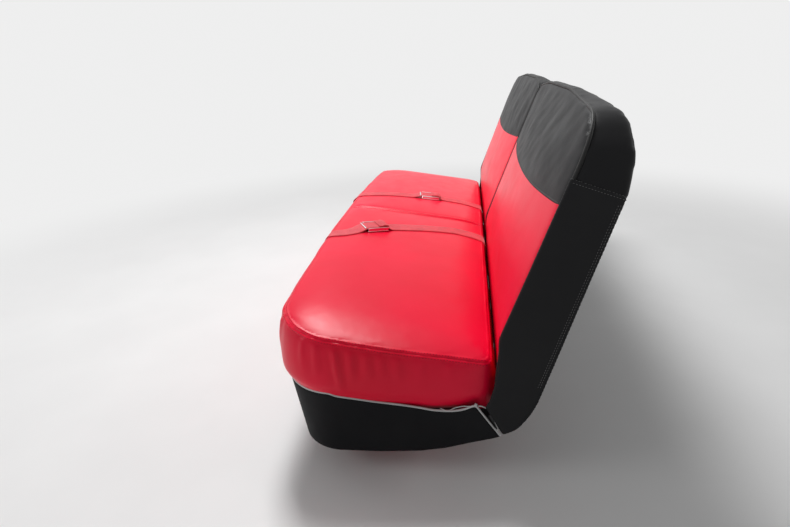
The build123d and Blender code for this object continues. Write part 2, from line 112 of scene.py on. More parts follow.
def smooth_shading(obj):
    "Shade an object's faces as one surface"
    obj.data.polygons.foreach_set("use_smooth", [True] * len(obj.data.polygons))
    obj.data.update()
    return obj


@contextmanager
def editing(mesh):
    "A mesh open for editing, written back at the end"
    bm = bmesh.new()
    bm.from_mesh(mesh)
    yield bm
    bm.to_mesh(mesh)
    bm.free()
    mesh.update()


def outward_normals(obj):
    "Turn every face of a closed mesh outward"
    with editing(obj.data) as bm:
        bmesh.ops.recalc_face_normals(bm, faces=bm.faces)
    return obj


def merged(name, meshes):
    "Several meshes as one smooth object; they are removed"
    out = bpy.data.meshes.new(name)
    with editing(out) as bm:
        for mesh in meshes:
            bm.from_mesh(mesh)
            bpy.data.meshes.remove(mesh)
    return smooth_shading(link(name, out))


def mirrored(obj, name):
    "The other side's copy of a piece"
    mesh = obj.data.copy()
    mesh.transform(Matrix.Scale(-1, 4, (1, 0, 0)))
    mesh.flip_normals()
    mesh.update()
    return link(name, mesh)


def both_sides(*pieces):
    "Each side's name with its pieces: the left ones, then their mirror images"
    yield "left", pieces
    yield "right", [mirrored(p, p.name.replace("left", "right")) for p in pieces]


def remesh(obj, voxel, rounds):
    "Rebuild a closed mesh in even squares and soften its edges"
    put(obj.modifiers.new("remesh", "REMESH"), mode="VOXEL", voxel_size=voxel)
    put(obj.modifiers.new("soften", "SMOOTH"), factor=0.5, iterations=rounds)
    bake(obj)


def subdivide(obj, rounds):
    "Split each face in four and even out the surface"
    put(obj.modifiers.new("subdivide", "SUBSURF"), levels=1, render_levels=1)
    put(obj.modifiers.new("even", "SMOOTH"), factor=0.5, iterations=rounds)
    bake(obj)


def sleeve(first, rings, sides, closed=False):
    "Faces between rings of points that are numbered from first; closed joins the last ring to the first"
    faces = []
    for i in range(rings if closed else rings - 1):
        a, b = first + i * sides, first + (i + 1) % rings * sides
        for k in range(sides):
            n = (k + 1) % sides
            faces.append((a + k, a + n, b + n, b + k))
    return faces


def caps(first, rings, sides):
    "Faces that close a sleeve at its first and its last ring"
    last = first + (rings - 1) * sides
    return [tuple(range(first + sides - 1, first - 1, -1)), tuple(range(last, last + sides))]


def smoothstep(low, high, value):
    "Eased share of the way from low to high"
    t = np.clip((value - low) / (high - low), 0, 1)
    t = t * t * (3 - 2 * t)
    return t if np.ndim(t) else float(t)


def fall(low, high, value):
    "Eased share that falls from 1 at low to 0 at high"
    return 1 - smoothstep(low, high, value)


# the share of a hold is given in this many steps, and the cloth settles in this many frames
HOLD_STEPS = 20
CLOTH_FRAMES = 20


def inflate(obj, held, pressure, cap):
    """Let a pad swell as cloth under pressure, no further than cap.
    held gives 1 where a seam holds it and 0 where it is free"""
    start = coordinates(obj.data)
    group = obj.vertex_groups.new(name="seams")
    for step in range(1, HOLD_STEPS + 1):
        picked = np.nonzero(np.round(held * HOLD_STEPS) == step)[0].tolist()
        if picked:
            group.add(picked, step / HOLD_STEPS, "REPLACE")
    cloth = obj.modifiers.new("cloth", "CLOTH")
    put(
        cloth.settings, quality=4, mass=0.4, tension_stiffness=20, compression_stiffness=20, shear_stiffness=8,
        bending_stiffness=2, use_pressure=True, uniform_pressure_force=pressure, vertex_group_mass="seams",
        pin_stiffness=1,
    )
    cloth.settings.effector_weights.gravity = 0
    put(cloth.point_cache, frame_start=1, frame_end=CLOTH_FRAMES)
    for number in range(1, CLOTH_FRAMES + 1):
        scene.frame_set(number)
    bake(obj)
    scene.frame_set(1)
    moved = coordinates(obj.data) - start
    length = np.linalg.norm(moved, axis=1)
    keep = np.where(length > cap, cap / np.maximum(length, 1e-9), 1.0)
    set_coordinates(obj.data, start + moved * keep[:, None])
    obj.vertex_groups.clear()


def cut(bm, field, near=0.0004):
    "Cut a mesh along the zero line of a field of position, and return the vertices on that line"
    value = {}
    line = set()
    for v in bm.verts:
        f = field(v.co)
        if abs(f) < near:
            f = 0.0
            line.add(v)
        value[v] = f
    for e in list(bm.edges):
        a, b = e.verts
        if value[a] * value[b] < 0:
            _, made = bmesh.utils.edge_split(e, a, value[a] / (value[a] - value[b]))
            value[made] = 0.0
            line.add(made)
    for f in list(bm.faces):
        hits = [v for v in f.verts if v in line]
        if len(hits) == 2 and not any(hits[1] in e.verts for e in hits[0].link_edges):
            bmesh.utils.face_split(f, hits[0], hits[1])
    return line


def distance_to(points):
    "A search tree of a line's points"
    tree = KDTree(len(points))
    for i, p in enumerate(points):
        tree.insert(p, i)
    tree.balance()
    return tree


def resample(points, step, closed):
    "Points at even steps along a line"
    pts = np.array([tuple(p) for p in points], float)
    if closed:
        pts = np.vstack([pts, pts[:1]])
    seg = np.linalg.norm(np.diff(pts, axis=0), axis=1)
    along = np.concatenate([[0], np.cumsum(seg)])
    count = max(2, int(round(along[-1] / step)))
    at = np.linspace(0, along[-1], count + 1)
    out = np.stack([np.interp(at, along, pts[:, k]) for k in range(3)], axis=1)
    return out[:-1] if closed else out


def relax(points, rounds, closed):
    "Smooth a line of points"
    pts = np.array(points, float)
    for _ in range(rounds):
        before, after = np.roll(pts, 1, axis=0), np.roll(pts, -1, axis=0)
        mean = (before + after) / 2
        if not closed:
            mean[0], mean[-1] = pts[0], pts[-1]
        pts = (pts + mean) / 2
    return pts


def tube(name, points, radius, closed, sides=8):
    "A round cord of vinyl along a line, with round ends when open"
    pts = [Vector(p) for p in points]
    count = len(pts)
    verts = []
    normal = None
    for i, p in enumerate(pts):
        ahead = pts[(i + 1) % count] if closed else pts[min(i + 1, count - 1)]
        back = pts[i - 1] if closed else pts[max(i - 1, 0)]
        direction = (ahead - back).normalized()
        if normal is None:
            normal = direction.orthogonal().normalized()
        normal = (normal - direction * normal.dot(direction)).normalized()
        side = direction.cross(normal)
        for k in range(sides):
            angle = 2 * math.pi * k / sides
            verts.append(p + (normal * math.cos(angle) + side * math.sin(angle)) * radius)
    faces = sleeve(0, count, sides, closed)
    if not closed:
        faces += caps(0, count, sides)
    return smooth_shading(mesh_object(name, verts, faces))


# a stitch's length, how high its middle stands, and the thread's radius on the cushion and on the boards
STITCH_LONG = 0.0034
STITCH_RISE = 0.0002
THREAD_CUSHION = 0.00065
THREAD_BOARD = 0.00055


def stitches(name, points, normals, radius):
    "A row of stitches: one small lens of thread at each point, along the row"
    verts, faces = [], []
    sides = 6
    # share of the half length, share of the radius
    rings = [(-1.0, 0.35), (-0.6, 0.9), (0.0, 1.0), (0.6, 0.9), (1.0, 0.35)]
    count = len(points)
    for i in range(count):
        p, n = Vector(points[i]), Vector(normals[i])
        ahead, back = Vector(points[min(i + 1, count - 1)]), Vector(points[max(i - 1, 0)])
        along = ahead - back
        if along.length < 1e-7:
            continue
        along = (along - n * along.dot(n)).normalized()
        side = n.cross(along)
        base = len(verts)
        for share, thick in rings:
            centre = p + along * (share * STITCH_LONG / 2) + n * (STITCH_RISE - abs(share) * radius * 0.8)
            for k in range(sides):
                angle = 2 * math.pi * k / sides
                offset = side * math.cos(angle) + n * math.sin(angle) * 0.8
                verts.append(centre + offset * (radius * thick))
        faces += sleeve(base, len(rings), sides) + caps(base, len(rings), sides)
    return smooth_shading(mesh_object(name, verts, faces))


def surface_of(obj):
    "A search tree of an object's faces"
    bm = bmesh.new()
    bm.from_mesh(obj.data)
    tree = BVHTree.FromBMesh(bm)
    bm.free()
    return tree


def row_on(tree, points, step):
    "Points and normals at even steps along a line, settled on a surface"
    found = [tree.find_nearest(Vector(p)) for p in resample(points, step, False)]
    return [place for place, *_ in found], [normal for _, normal, *_ in found]


# Materials

def material(name, color, roughness, metallic=0.0, specular=0.5):
    "A principled material and its nodes, links, shader and object coordinates"
    mat = bpy.data.materials.new(name)
    mat.use_nodes = True
    tree = mat.node_tree
    shader = tree.nodes["Principled BSDF"]
    shader.inputs["Base Color"].default_value = (*color, 1)
    shader.inputs["Roughness"].default_value = roughness
    shader.inputs["Metallic"].default_value = metallic
    shader.inputs["Specular IOR Level"].default_value = specular
    coords = tree.nodes.new("ShaderNodeTexCoord").outputs["Object"]
    return mat, tree, shader, coords


def add_node(tree, kind, sockets, **settings):
    "A new node; each socket takes a value, or a link from another node's output"
    node = put(tree.nodes.new("ShaderNode" + kind), **settings)
    for name, value in sockets.items():
        if isinstance(value, bpy.types.NodeSocket):
            tree.links.new(value, node.inputs[name])
        else:
            node.inputs[name].default_value = value
    return node


def noise_node(tree, coords, scale, detail, stretch=None):
    "Noise over the object's own coordinates"
    if stretch:
        coords = add_node(tree, "Mapping", {"Scale": stretch, "Vector": coords}).outputs["Vector"]
    return add_node(tree, "TexNoise", {"Scale": scale, "Detail": detail, "Vector": coords}).outputs["Fac"]


def vary(tree, factor, low, high, socket, start=0.3, end=0.7):
    "Give a socket a value between two colours or two greys"
    ramp = add_node(tree, "ValToRGB", {"Fac": factor})
    for element, place, value in zip(ramp.color_ramp.elements, (start, end), (low, high)):
        element.position = place
        element.color = (*(value if isinstance(value, tuple) else grey(value)), 1)
    tree.links.new(ramp.outputs["Color"], socket)


def bump_node(tree, shader, height, strength, distance, before=None):
    "Relief on a shader, over the relief before it"
    sockets = {"Strength": strength, "Distance": distance, "Height": height}
    if before is not None:
        sockets["Normal"] = before
    normal = add_node(tree, "Bump", sockets).outputs["Normal"]
    tree.links.new(normal, shader.inputs["Normal"])
    return normal


def grey(value):
    "A colour without hue"
    return (value, value, value)


def vinyl(name, dark, light, rough_low, rough_high, grain, crease, specular=0.5):
    "Upholstery vinyl: slow colour change, uneven gloss, soft creases and a fine pressed grain"
    mat, tree, shader, coords = material(name, light, rough_low, specular=specular)
    vary(tree, noise_node(tree, coords, 5.0, 2.0), dark, light, shader.inputs["Base Color"])
    vary(tree, noise_node(tree, coords, 22.0, 4.0), rough_low, rough_high, shader.inputs["Roughness"])
    creases = bump_node(tree, shader, noise_node(tree, coords, 26.0, 2.0), crease, 0.004)
    cells = add_node(tree, "TexVoronoi", {"Scale": 900.0, "Vector": coords}, feature="SMOOTH_F1")
    bump_node(tree, shader, cells.outputs["Distance"], grain, 0.0004, creases)
    return mat


def webbing(name, dark, light):
    "Woven belt: ribs across the strap with a diagonal twill"
    mat, tree, shader, coords = material(name, light, 0.6)
    shader.inputs["Sheen Weight"].default_value = 0.3
    vary(tree, noise_node(tree, coords, 40.0, 3.0), dark, light, shader.inputs["Base Color"])
    relief = None
    for direction, scale, strength, distance in (("DIAGONAL", 220.0, 0.5, 0.0006), ("Y", 320.0, 0.35, 0.0005)):
        sockets = {"Scale": scale, "Distortion": 0.6, "Vector": coords}
        wave = add_node(tree, "TexWave", sockets, bands_direction=direction)
        relief = bump_node(tree, shader, wave.outputs["Fac"], strength, distance, relief)
    return mat


def metal(name, color, rough_low, rough_high, scratch, wear=None, base_metallic=1.0):
    "Bare, plated or painted metal with uneven gloss and fine scratches"
    mat, tree, shader, coords = material(name, color, rough_low, metallic=base_metallic)
    patches = noise_node(tree, coords, 18.0, 5.0)
    vary(tree, patches, rough_low, rough_high, shader.inputs["Roughness"], 0.35, 0.65)
    if wear:
        vary(tree, patches, color, wear, shader.inputs["Base Color"], 0.3, 0.75)
    lines = noise_node(tree, coords, 60.0, 2.0, (1.0, 14.0, 14.0))
    bump_node(tree, shader, lines, scratch, 0.0004)
    return mat


# name, darkest, lightest, lowest and highest roughness, grain, crease, specular
RED = vinyl("red_vinyl", (0.76, 0.0006, 0.028), (0.86, 0.0010, 0.038), 0.30, 0.36, 0.08, 0.08, 0.20)
COAL = ((0.006, 0.006, 0.007), (0.010, 0.010, 0.011))
BLACK = vinyl("black_vinyl", *COAL, 0.40, 0.48, 0.12, 0.14, 0.13)
BOARD = vinyl("black_board_vinyl", *COAL, 0.45, 0.55, 0.12, 0.10, 0.16)
SHIELD = vinyl("black_shield_vinyl", *COAL, 0.60, 0.70, 0.2, 0.06, 0.10)
# a darker red without gloss: painted shade for the backs' face foot, down in the bight
RED_PAINTED_SHADE = vinyl("red_vinyl_painted_shade", (0.60, 0.0006, 0.020), (0.68, 0.0010, 0.026), 0.70, 0.80, 0.08, 0.08, 0.0)
PIPING = vinyl("black_piping", (0.007, 0.007, 0.007), (0.010, 0.010, 0.010), 0.46, 0.54, 0.1, 0.05, 0.22)
BEAD = vinyl("grey_bead", (0.42, 0.42, 0.42), (0.55, 0.55, 0.55), 0.38, 0.5, 0.05, 0.05)
RED_THREAD = vinyl("red_thread", (0.34, 0.004, 0.016), (0.46, 0.008, 0.026), 0.6, 0.7, 0.3, 0.1, 0.2)
BLACK_THREAD = vinyl("black_thread", (0.06, 0.06, 0.06), (0.10, 0.10, 0.10), 0.6, 0.7, 0.3, 0.1)
WEBBING = webbing("belt_webbing", (0.62, 0.015, 0.035), (0.78, 0.035, 0.060))
# name, colour, lowest and highest roughness, scratches, worn colour, metallic
CHROME = metal("buckle_chrome", (0.80, 0.80, 0.82), 0.10, 0.20, 0.05)
PAINT = metal("frame_paint", (0.022, 0.022, 0.023), 0.40, 0.55, 0.2, (0.035, 0.034, 0.033), 0.0)
PLATED = metal("plated_steel", (0.30, 0.30, 0.29), 0.38, 0.54, 0.25, (0.42, 0.41, 0.38))


def dress(obj, mat, body):
    """Give a piece its material and body"""
    obj.data.materials.clear()
    obj.data.materials.append(mat)
    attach(obj, body)
    return obj


# Camera at the photograph's angle, fitted to its lines

FIT_YAW, FIT_PITCH, FIT_ROLL = 0.145594, 0.259936, 0.0483404
FIT_PLACE = Vector((1.61097, 0.0847, 0.80436))
FIT_FOCAL, FIT_CENTRE = 530.952, 199.982
PHOTO_WIDE, PHOTO_HIGH = 790, 527
aim = Vector((
    -math.cos(FIT_YAW) * math.cos(FIT_PITCH),
    -math.sin(FIT_YAW) * math.cos(FIT_PITCH),
    -math.sin(FIT_PITCH),
))
right = aim.cross(Vector((0, 0, 1))).normalized()
down = aim.cross(right)
turned_right = math.cos(FIT_ROLL) * right + math.sin(FIT_ROLL) * down
turned_down = -math.sin(FIT_ROLL) * right + math.cos(FIT_ROLL) * down
camera = link("camera", bpy.data.cameras.new("camera"))
turn = Matrix((turned_right, -turned_down, -aim)).transposed()
camera.matrix_world = Matrix.Translation(FIT_PLACE) @ turn.to_4x4()
put(
    camera.data, sensor_width=36.0, lens=FIT_FOCAL * 36.0 / PHOTO_WIDE,
    shift_y=(FIT_CENTRE - PHOTO_HIGH / 2) / PHOTO_WIDE, clip_start=0.05, clip_end=100,
)
scene.camera = camera


# Stage: a pale floor, pale surroundings and soft lamps

PALE = 0.86


def either(tree):
    "1 for rays that show the background: from the camera, in a gloss or through glass"
    path = tree.nodes.new("ShaderNodeLightPath")
    share = path.outputs["Is Camera Ray"]
    for name in ("Is Glossy Ray", "Is Transmission Ray"):
        share = add_node(tree, "Math", {0: share, 1: path.outputs[name]}, operation="MAXIMUM").outputs[0]
    return share


def stage_floor():
    "A pale floor that keeps the shadow near the seat and goes over into the background"
    size = 30.0
    floor = mesh_object(
        "floor", [(-size, -size, 0), (size, -size, 0), (size, size, 0), (-size, size, 0)], [(0, 1, 2, 3)]
    )
    mat, tree, shader, coords = material("floor", (0.80, 0.80, 0.80), 0.55)
    vary(tree, noise_node(tree, coords, 3.0, 4.0), 0.78, 0.82, shader.inputs["Base Color"])
    length = add_node(tree, "VectorMath", {0: coords}, operation="LENGTH").outputs["Value"]
    fade = add_node(
        tree, "MapRange", {"From Min": 0.8, "From Max": 2.8, "Value": length}, interpolation_type="SMOOTHERSTEP"
    ).outputs["Result"]
    share = add_node(tree, "Math", {0: fade, 1: either(tree)}, operation="MULTIPLY").outputs[0]
    pale = add_node(tree, "Emission", {"Color": (*grey(PALE), 1)}).outputs[0]
    mix = add_node(tree, "MixShader", {0: share, 1: shader.outputs[0], 2: pale})
    tree.links.new(mix.outputs[0], tree.nodes["Material Output"].inputs["Surface"])
    floor.data.materials.append(mat)
    floor.location.z = -0.0005


def lamp(name, place, target, size_x, size_y, power):
    "A soft lamp that faces a target"
    data = put(bpy.data.lights.new(name, "AREA"), shape="RECTANGLE", size=size_x, size_y=size_y, energy=power)
    turned = (Vector(target) - Vector(place)).to_track_quat("-Z", "Y")
    put(link(name, data), location=place, rotation_mode="QUATERNION", rotation_quaternion=turned)


stage_floor()
world = bpy.data.worlds.new("world")
scene.world = world
world.use_nodes = True
wt = world.node_tree
background = wt.nodes["Background"]
background.inputs["Color"].default_value = (0.80, 0.80, 0.80, 1)
background.inputs["Strength"].default_value = 0.25
white = add_node(wt, "Background", {"Color": (*grey(PALE), 1), "Strength": 1.0})
mix = add_node(wt, "MixShader", {0: either(wt), 1: background.outputs[0], 2: white.outputs[0]})
wt.links.new(mix.outputs[0], wt.nodes["World Output"].inputs["Surface"])
# name, place, target, sizes, watts
for row in [
    ("key", (-0.5, -0.5, 2.5), (0.1, -0.1, 0.3), 0.55, 1.1, 56),
    ("camera_side", (1.7, -2.7, 1.5), (0.5, 0, 0.3), 1.2, 1.2, 17),
    ("front", (-1.2, -3.3, 1.8), (0, 0, 0.4), 2.2, 1.8, 9),
    ("behind", (0.4, 3.4, 2.0), (0, 0, 0.5), 1.0, 0.7, 16),
]:
    lamp(*row)
scene.view_settings.view_transform = "Standard"


# Cushion

def welt_height(y):
    "Height of the side welt at a place along the seat"
    return WELT_REAR + (BIGHT - y) * WELT_SLOPE


CORNER_FRONT = 0.115
CORNER_REAR = 0.022
PLAN_FRONT = BIGHT - CUSHION_FRONT
PLAN_REAR = BIGHT - CUSHION_REAR
SIDE_BOW = 0.013
FRONT_BOW = 0.005


def side_stretch(y):
    "How much wider the plan is than its rear at a place along the seat"
    return 1 + SIDE_BOW / CUSHION_HALF * smoothstep(PLAN_REAR, -0.120, y)


def front_shift(x, y):
    "How far the plan's front is bowed out"
    share = np.clip((PLAN_REAR - y) / (PLAN_REAR - PLAN_FRONT), 0, 1)
    return FRONT_BOW * np.clip(1 - np.abs(x / 0.66) ** 3, 0, 1) * share


def plan_outline(step, inset=0.0):
    "Plan of the cushion: a rectangle with large front corners, anticlockwise"
    half = CUSHION_HALF - inset
    front, rear = PLAN_FRONT + inset, PLAN_REAR - inset
    big, small = CORNER_FRONT - inset, max(CORNER_REAR - inset, 0.002)
    pts = []
    # centre x, centre y, radius, first angle
    for cx, cy, r, first in [
        (half - big, front + big, big, -90),
        (half - small, rear - small, small, 0),
        (-half + small, rear - small, small, 90),
        (-half + big, front + big, big, 180),
    ]:
        for k in range(25):
            angle = math.radians(first + 90 * k / 24)
            pts.append((cx + r * math.cos(angle), cy + r * math.sin(angle), 0))
    out = resample(pts, step, True)[:, :2]
    shift = front_shift(out[:, 0], out[:, 1])
    return np.column_stack([out[:, 0] * side_stretch(out[:, 1]), out[:, 1] - shift])


def inward(x, y):
    "Distance inside the cushion's plan"
    y = y + front_shift(x, y)
    x = x / side_stretch(y)
    corner = np.where(y < 0, CORNER_FRONT, CORNER_REAR)
    middle = (PLAN_FRONT + PLAN_REAR) / 2
    half_y = (PLAN_REAR - PLAN_FRONT) / 2
    qx = np.abs(x) - (CUSHION_HALF - corner)
    qy = np.abs(y - middle) - (half_y - corner)
    outside = np.hypot(np.maximum(qx, 0), np.maximum(qy, 0))
    return corner - outside - np.minimum(np.maximum(qx, qy), 0)


def broad_crown(x):
    "How far the middle of the seat stands above its sides"
    return 0.027 * (1 - np.abs(x / CUSHION_HALF) ** 2.4)


def edge_height(x, y):
    "Height of the welt's sloping plane with the broad crown"
    return welt_height(y) + broad_crown(x)


def cushion_top(x, y):
    "Height of the cushion's top: as the welt's, with a soft shoulder"
    shoulder = 0.014 * (1 - (1 - np.clip(inward(x, y) / 0.095, 0, 1)) ** 2.4)
    return edge_height(x, y) + shoulder


RING_STEP = 0.010


def cushion_start():
    "The cushion as rings: bottom, sides, and top, closed at both middles"
    outline = plan_outline(RING_STEP)
    count = len(outline)
    middle = np.array([0.0, (PLAN_FRONT + PLAN_REAR) / 2])
    shares = [0.15, 0.3, 0.45, 0.6, 0.72, 0.82, 0.89, 0.94, 0.975]
    edge_z = edge_height(outline[:, 0], outline[:, 1])
    rings = []
    for share in shares:
        ring = middle + (outline - middle) * share
        rings.append(np.column_stack([ring, np.full(count, CUSHION_LOW)]))
    # share of the height from bottom to welt, how far the side stands in
    for level, inset in [(0.0, 0.006), (0.08, 0.003), (0.2, 0.001), (0.4, 0.0), (0.6, 0.0), (0.8, 0.0), (1.0, 0.0)]:
        ring = plan_outline(RING_STEP, inset)
        ring = resample(np.column_stack([ring, np.zeros(len(ring))]), RING_STEP, True)[:, :2]
        if len(ring) != count:
            at = np.linspace(0, len(ring), count, endpoint=False)
            round_again = np.vstack([ring, ring[:1]])
            ring = np.stack([np.interp(at, np.arange(len(round_again)), round_again[:, k]) for k in (0, 1)], axis=1)
        rings.append(np.column_stack([ring, CUSHION_LOW + (edge_z - CUSHION_LOW) * level]))
    for share in reversed(shares):
        ring = middle + (outline - middle) * share
        rings.append(np.column_stack([ring, cushion_top(ring[:, 0], ring[:, 1])]))
    verts = np.vstack(rings).tolist()
    faces = sleeve(0, len(rings), count)
    low = len(verts)
    verts.append((middle[0], middle[1], CUSHION_LOW))
    verts.append((middle[0], middle[1], float(cushion_top(np.array([0.0]), np.array([middle[1]]))[0])))
    last = (len(rings) - 1) * count
    for k in range(count):
        n = (k + 1) % count
        faces.append((low, n, k))
        faces.append((low + 1, last + k, last + n))
    return mesh_object("seat_cushion", verts, faces)


def welt_line(step):
    "The welt's path round the top of the cushion"
    outline = plan_outline(step)
    return np.column_stack([outline, edge_height(outline[:, 0], outline[:, 1])])


# the shields' top edge and low edge: distance ahead of the bight, height
SHIELD_TOP = [
    (0.039, 0.177), (0.050, 0.171), (0.061, 0.165), (0.084, 0.160), (0.106, 0.160), (0.122, 0.161), (0.143, 0.165),
    (0.183, 0.170), (0.228, 0.174), (0.269, 0.179), (0.335, 0.187), (0.372, 0.189),
]
SHIELD_LOW = [
    (-0.006, 0.109), (0.009, 0.103), (0.051, 0.090), (0.098, 0.074), (0.147, 0.064), (0.226, 0.057), (0.307, 0.055),
]


# how far back the cushion's rear wall swells, and the height over which its low rim is held
BIGHT_WALL = 0.1316
RIM_HELD = (0.150, 0.185)


def close_bight(obj):
    "The rear wall's low part swells up to the backs' feet, so that nothing shows between them"
    co = coordinates(obj.data)
    x, y, z = co.T
    height = smoothstep(0.155, 0.186, z) * fall(0.206, 0.246, z)
    rear = smoothstep(0.110, 0.121, y) * fall(0.712, 0.730, np.abs(x))
    y += (BIGHT_WALL - y) * height * rear
    set_coordinates(obj.data, co)


# how far the front and the sides swell out, and how far they tuck in behind the bead
FRONT_SWELL, SIDE_SWELL = 0.011, 0.0045
FRONT_TUCK, SIDE_TUCK = 0.013, 0.0070


def make_cushion():
    "Swell the front and sides, tuck them in behind the shields' bead, and inflate the pad between its seams"
    obj = cushion_start()
    remesh(obj, voxel=0.0098, rounds=2)
    co = coordinates(obj.data)
    x, y, z = co.T
    top = edge_height(np.clip(x, -CUSHION_HALF, CUSHION_HALF), y)
    level = np.clip((z - 0.165) / (top - 0.165), 0, 1)
    near_side = fall(0.004, 0.050, inward(x, y))
    swell = np.sin(math.pi * level) ** 0.8 * near_side * fall(0.06, 0.11, y)
    front = fall(-0.28, -0.16, y)
    y -= swell * front * FRONT_SWELL
    side = smoothstep(0.60, 0.72, np.abs(x))
    x += np.sign(x) * swell * side * SIDE_SWELL
    bead_z = np.interp(BIGHT - y, *zip(*SHIELD_TOP))
    low = fall(bead_z - 0.004, bead_z + 0.022, z) * near_side
    ahead = fall(-0.26, -0.19, y)
    spare = 1 - 0.25 * ahead * side
    y += low * ahead * spare * FRONT_TUCK
    x -= np.sign(x) * low * side * spare * SIDE_TUCK
    rim = fall(0.004, 0.016, inward(x, y))
    z -= rim * fall(*RIM_HELD, z) * 0.010
    set_coordinates(obj.data, co)
    tree = distance_to(welt_line(0.004))
    near = np.array([tree.find(p)[2] for p in co])
    held = fall(0.004, 0.045, near)
    held = np.maximum(held, fall(*RIM_HELD, z))
    middle = (np.abs(x) < 0.05) & (z > 0.25)
    held = np.maximum(held, np.where(middle, fall(0.003, 0.040, np.abs(x)), 0))
    inflate(obj, held, pressure=1.1, cap=0.007)
    close_bight(obj)
    subdivide(obj, 5)
    return smooth_shading(obj)


cushion = make_cushion()
dress(cushion, RED, "seat_base")
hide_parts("cushion")


# Backs: one stuffed body each, with a red pad let into its front

BODY_OUTER = 0.751
# the slots that the hinges stand in: their top, and where each starts and ends across
POCKET_TOP = 0.312
POCKETS = [(-0.001, 0.0077), (0.7318, 0.7452)]
# the piping: how far in it runs, its radius on the border and at the yoke
PIPED = 0.0035
BORDER_PIPING = 0.0036
YOKE_PIPING = 0.0023


def face_line(z):
    "Distance behind the bight of the back's front border"
    return FACE_START + max(0.0, z - FACE_BEND) * FACE_SLOPE


def yoke_line(x):
    "Height of the seam between the red face and the black yoke"
    share = (abs(x) - SPLIT) / (HALF_WIDTH - SPLIT)
    return 0.562 - 0.016 * math.sin(math.pi * min(max(share, 0), 1))


def rounded(corners):
    "A closed outline from corners (a, b, radius), with arcs at the corners"
    out = []
    count = len(corners)
    for i, (a, b, r) in enumerate(corners):
        here = Vector((a, b))
        if r <= 0:
            out.append(here)
            continue
        before = (Vector(corners[i - 1][:2]) - here).normalized()
        after = (Vector(corners[(i + 1) % count][:2]) - here).normalized()
        half = before.angle(after) / 2
        reach = r / math.tan(half)
        centre = here + (before + after).normalized() * (r / math.sin(half))
        first, last = here + before * reach - centre, here + after * reach - centre
        turn_by = first.angle_signed(last)
        steps = max(3, int(abs(turn_by) / 0.12))
        for k in range(steps + 1):
            angle = -turn_by * k / steps
            c, s = math.cos(angle), math.sin(angle)
            out.append(centre + Vector((first.x * c - first.y * s, first.x * s + first.y * c)))
    return out


def prism(name, outline, place):
    "A closed prism on an outline; place turns an outline point and an end, 0 or 1, into a point"
    count = len(outline)
    verts = [place(p, 0) for p in outline] + [place(p, 1) for p in outline]
    faces = [tuple(range(count)), tuple(range(2 * count - 1, count - 1, -1))]
    faces += [(k, (k + 1) % count, count + (k + 1) % count, count + k) for k in range(count)]
    return outward_normals(mesh_object(name, verts, faces))


def combine(obj, tool, operation):
    "Boolean of an object with a tool, which is then removed"
    put(obj.modifiers.new("boolean", "BOOLEAN"), operation=operation, solver="EXACT", object=tool)
    bake(obj)
    bpy.data.meshes.remove(tool.data)


# behind the bight, height, corner radius
BACK_SIDE = [
    (0.004, 0.157, 0.008), (0.002, 0.315, 0.120), (0.1642, 0.729, 0.020), (0.214, 0.729, 0.036),
    (0.214, 0.612, 0.060), (0.205, 0.565, 0.060), (0.081, 0.215, 0.040), (0.066, 0.173, 0.060),
    (0.040, 0.135, 0.004), (0.030, 0.135, 0.004), (0.028, 0.152, 0.006),
]
# x, height, corner radius
BACK_FRONT = [
    (SPLIT, 0.713, 0.045), (0.150, 0.729, 0.3), (0.430, 0.729, 0.3), (BODY_OUTER, 0.703, 0.090),
    (BODY_OUTER, 0.0, 0.0), (SPLIT, 0.0, 0.0),
]


def crown_forward(x, z):
    "How far the stuffed front stands ahead of its border"
    share = (x - SPLIT) / (HALF_WIDTH - SPLIT)
    across = max(0.0, 1 - abs(2 * share - 1) ** 2.4)
    low = smoothstep(0.300, 0.430, z)
    high = fall(0.600, 0.745, z)
    return 0.020 * across * low * high


def back_start(name):
    "The left back's body from its side view and its front view"
    side = rounded(BACK_SIDE)
    body = prism(name, side, lambda p, end: (SPLIT + (BODY_OUTER - SPLIT) * end, BIGHT + p.x, p.y))
    front = prism("front", rounded(BACK_FRONT), lambda p, end: (p.x, -0.1 + 0.6 * end, p.y))
    combine(body, front, "INTERSECT")
    return body


def side_seam(y, z):
    "How far a place lies above the seam on the back's outer side"
    behind = y - BIGHT
    return z - (0.606 - (behind - 0.112) * 0.36)


def wrinkle(obj):
    "Soft folds of the yoke, and slow dents in the band round it"
    obj.data.update()
    co = coordinates(obj.data)
    normals = np.empty(len(co) * 3)
    obj.data.vertex_normals.foreach_get("vector", normals)
    normals = normals.reshape(-1, 3)
    for i, (x, y, z) in enumerate(co):
        depth = y - BIGHT - face_line(z)
        above = z - yoke_line(x)
        if above < 0.003:
            continue
        side = min(x - SPLIT, HALF_WIDTH - x)
        if depth < 0.0:
            edge = smoothstep(0.004, 0.030, above) * smoothstep(0.012, 0.060, side)
            edge *= fall(0.700, 0.722, z)
            tall = noise.noise(Vector(((x + 0.30 * z) * 13, z * 4.0, 1.3)))
            slant = noise.noise(Vector(((x - 0.75 * z) * 26, (z + 0.4 * x) * 7, 6.1)))
            move = edge * (0.0030 * tall + 0.0010 * slant)
        else:
            edge = smoothstep(0.010, 0.028, depth)
            move = edge * 0.0010 * noise.noise(Vector((x * 9, y * 16, z * 9)))
        co[i] += normals[i] * move
    set_coordinates(obj.data, co)


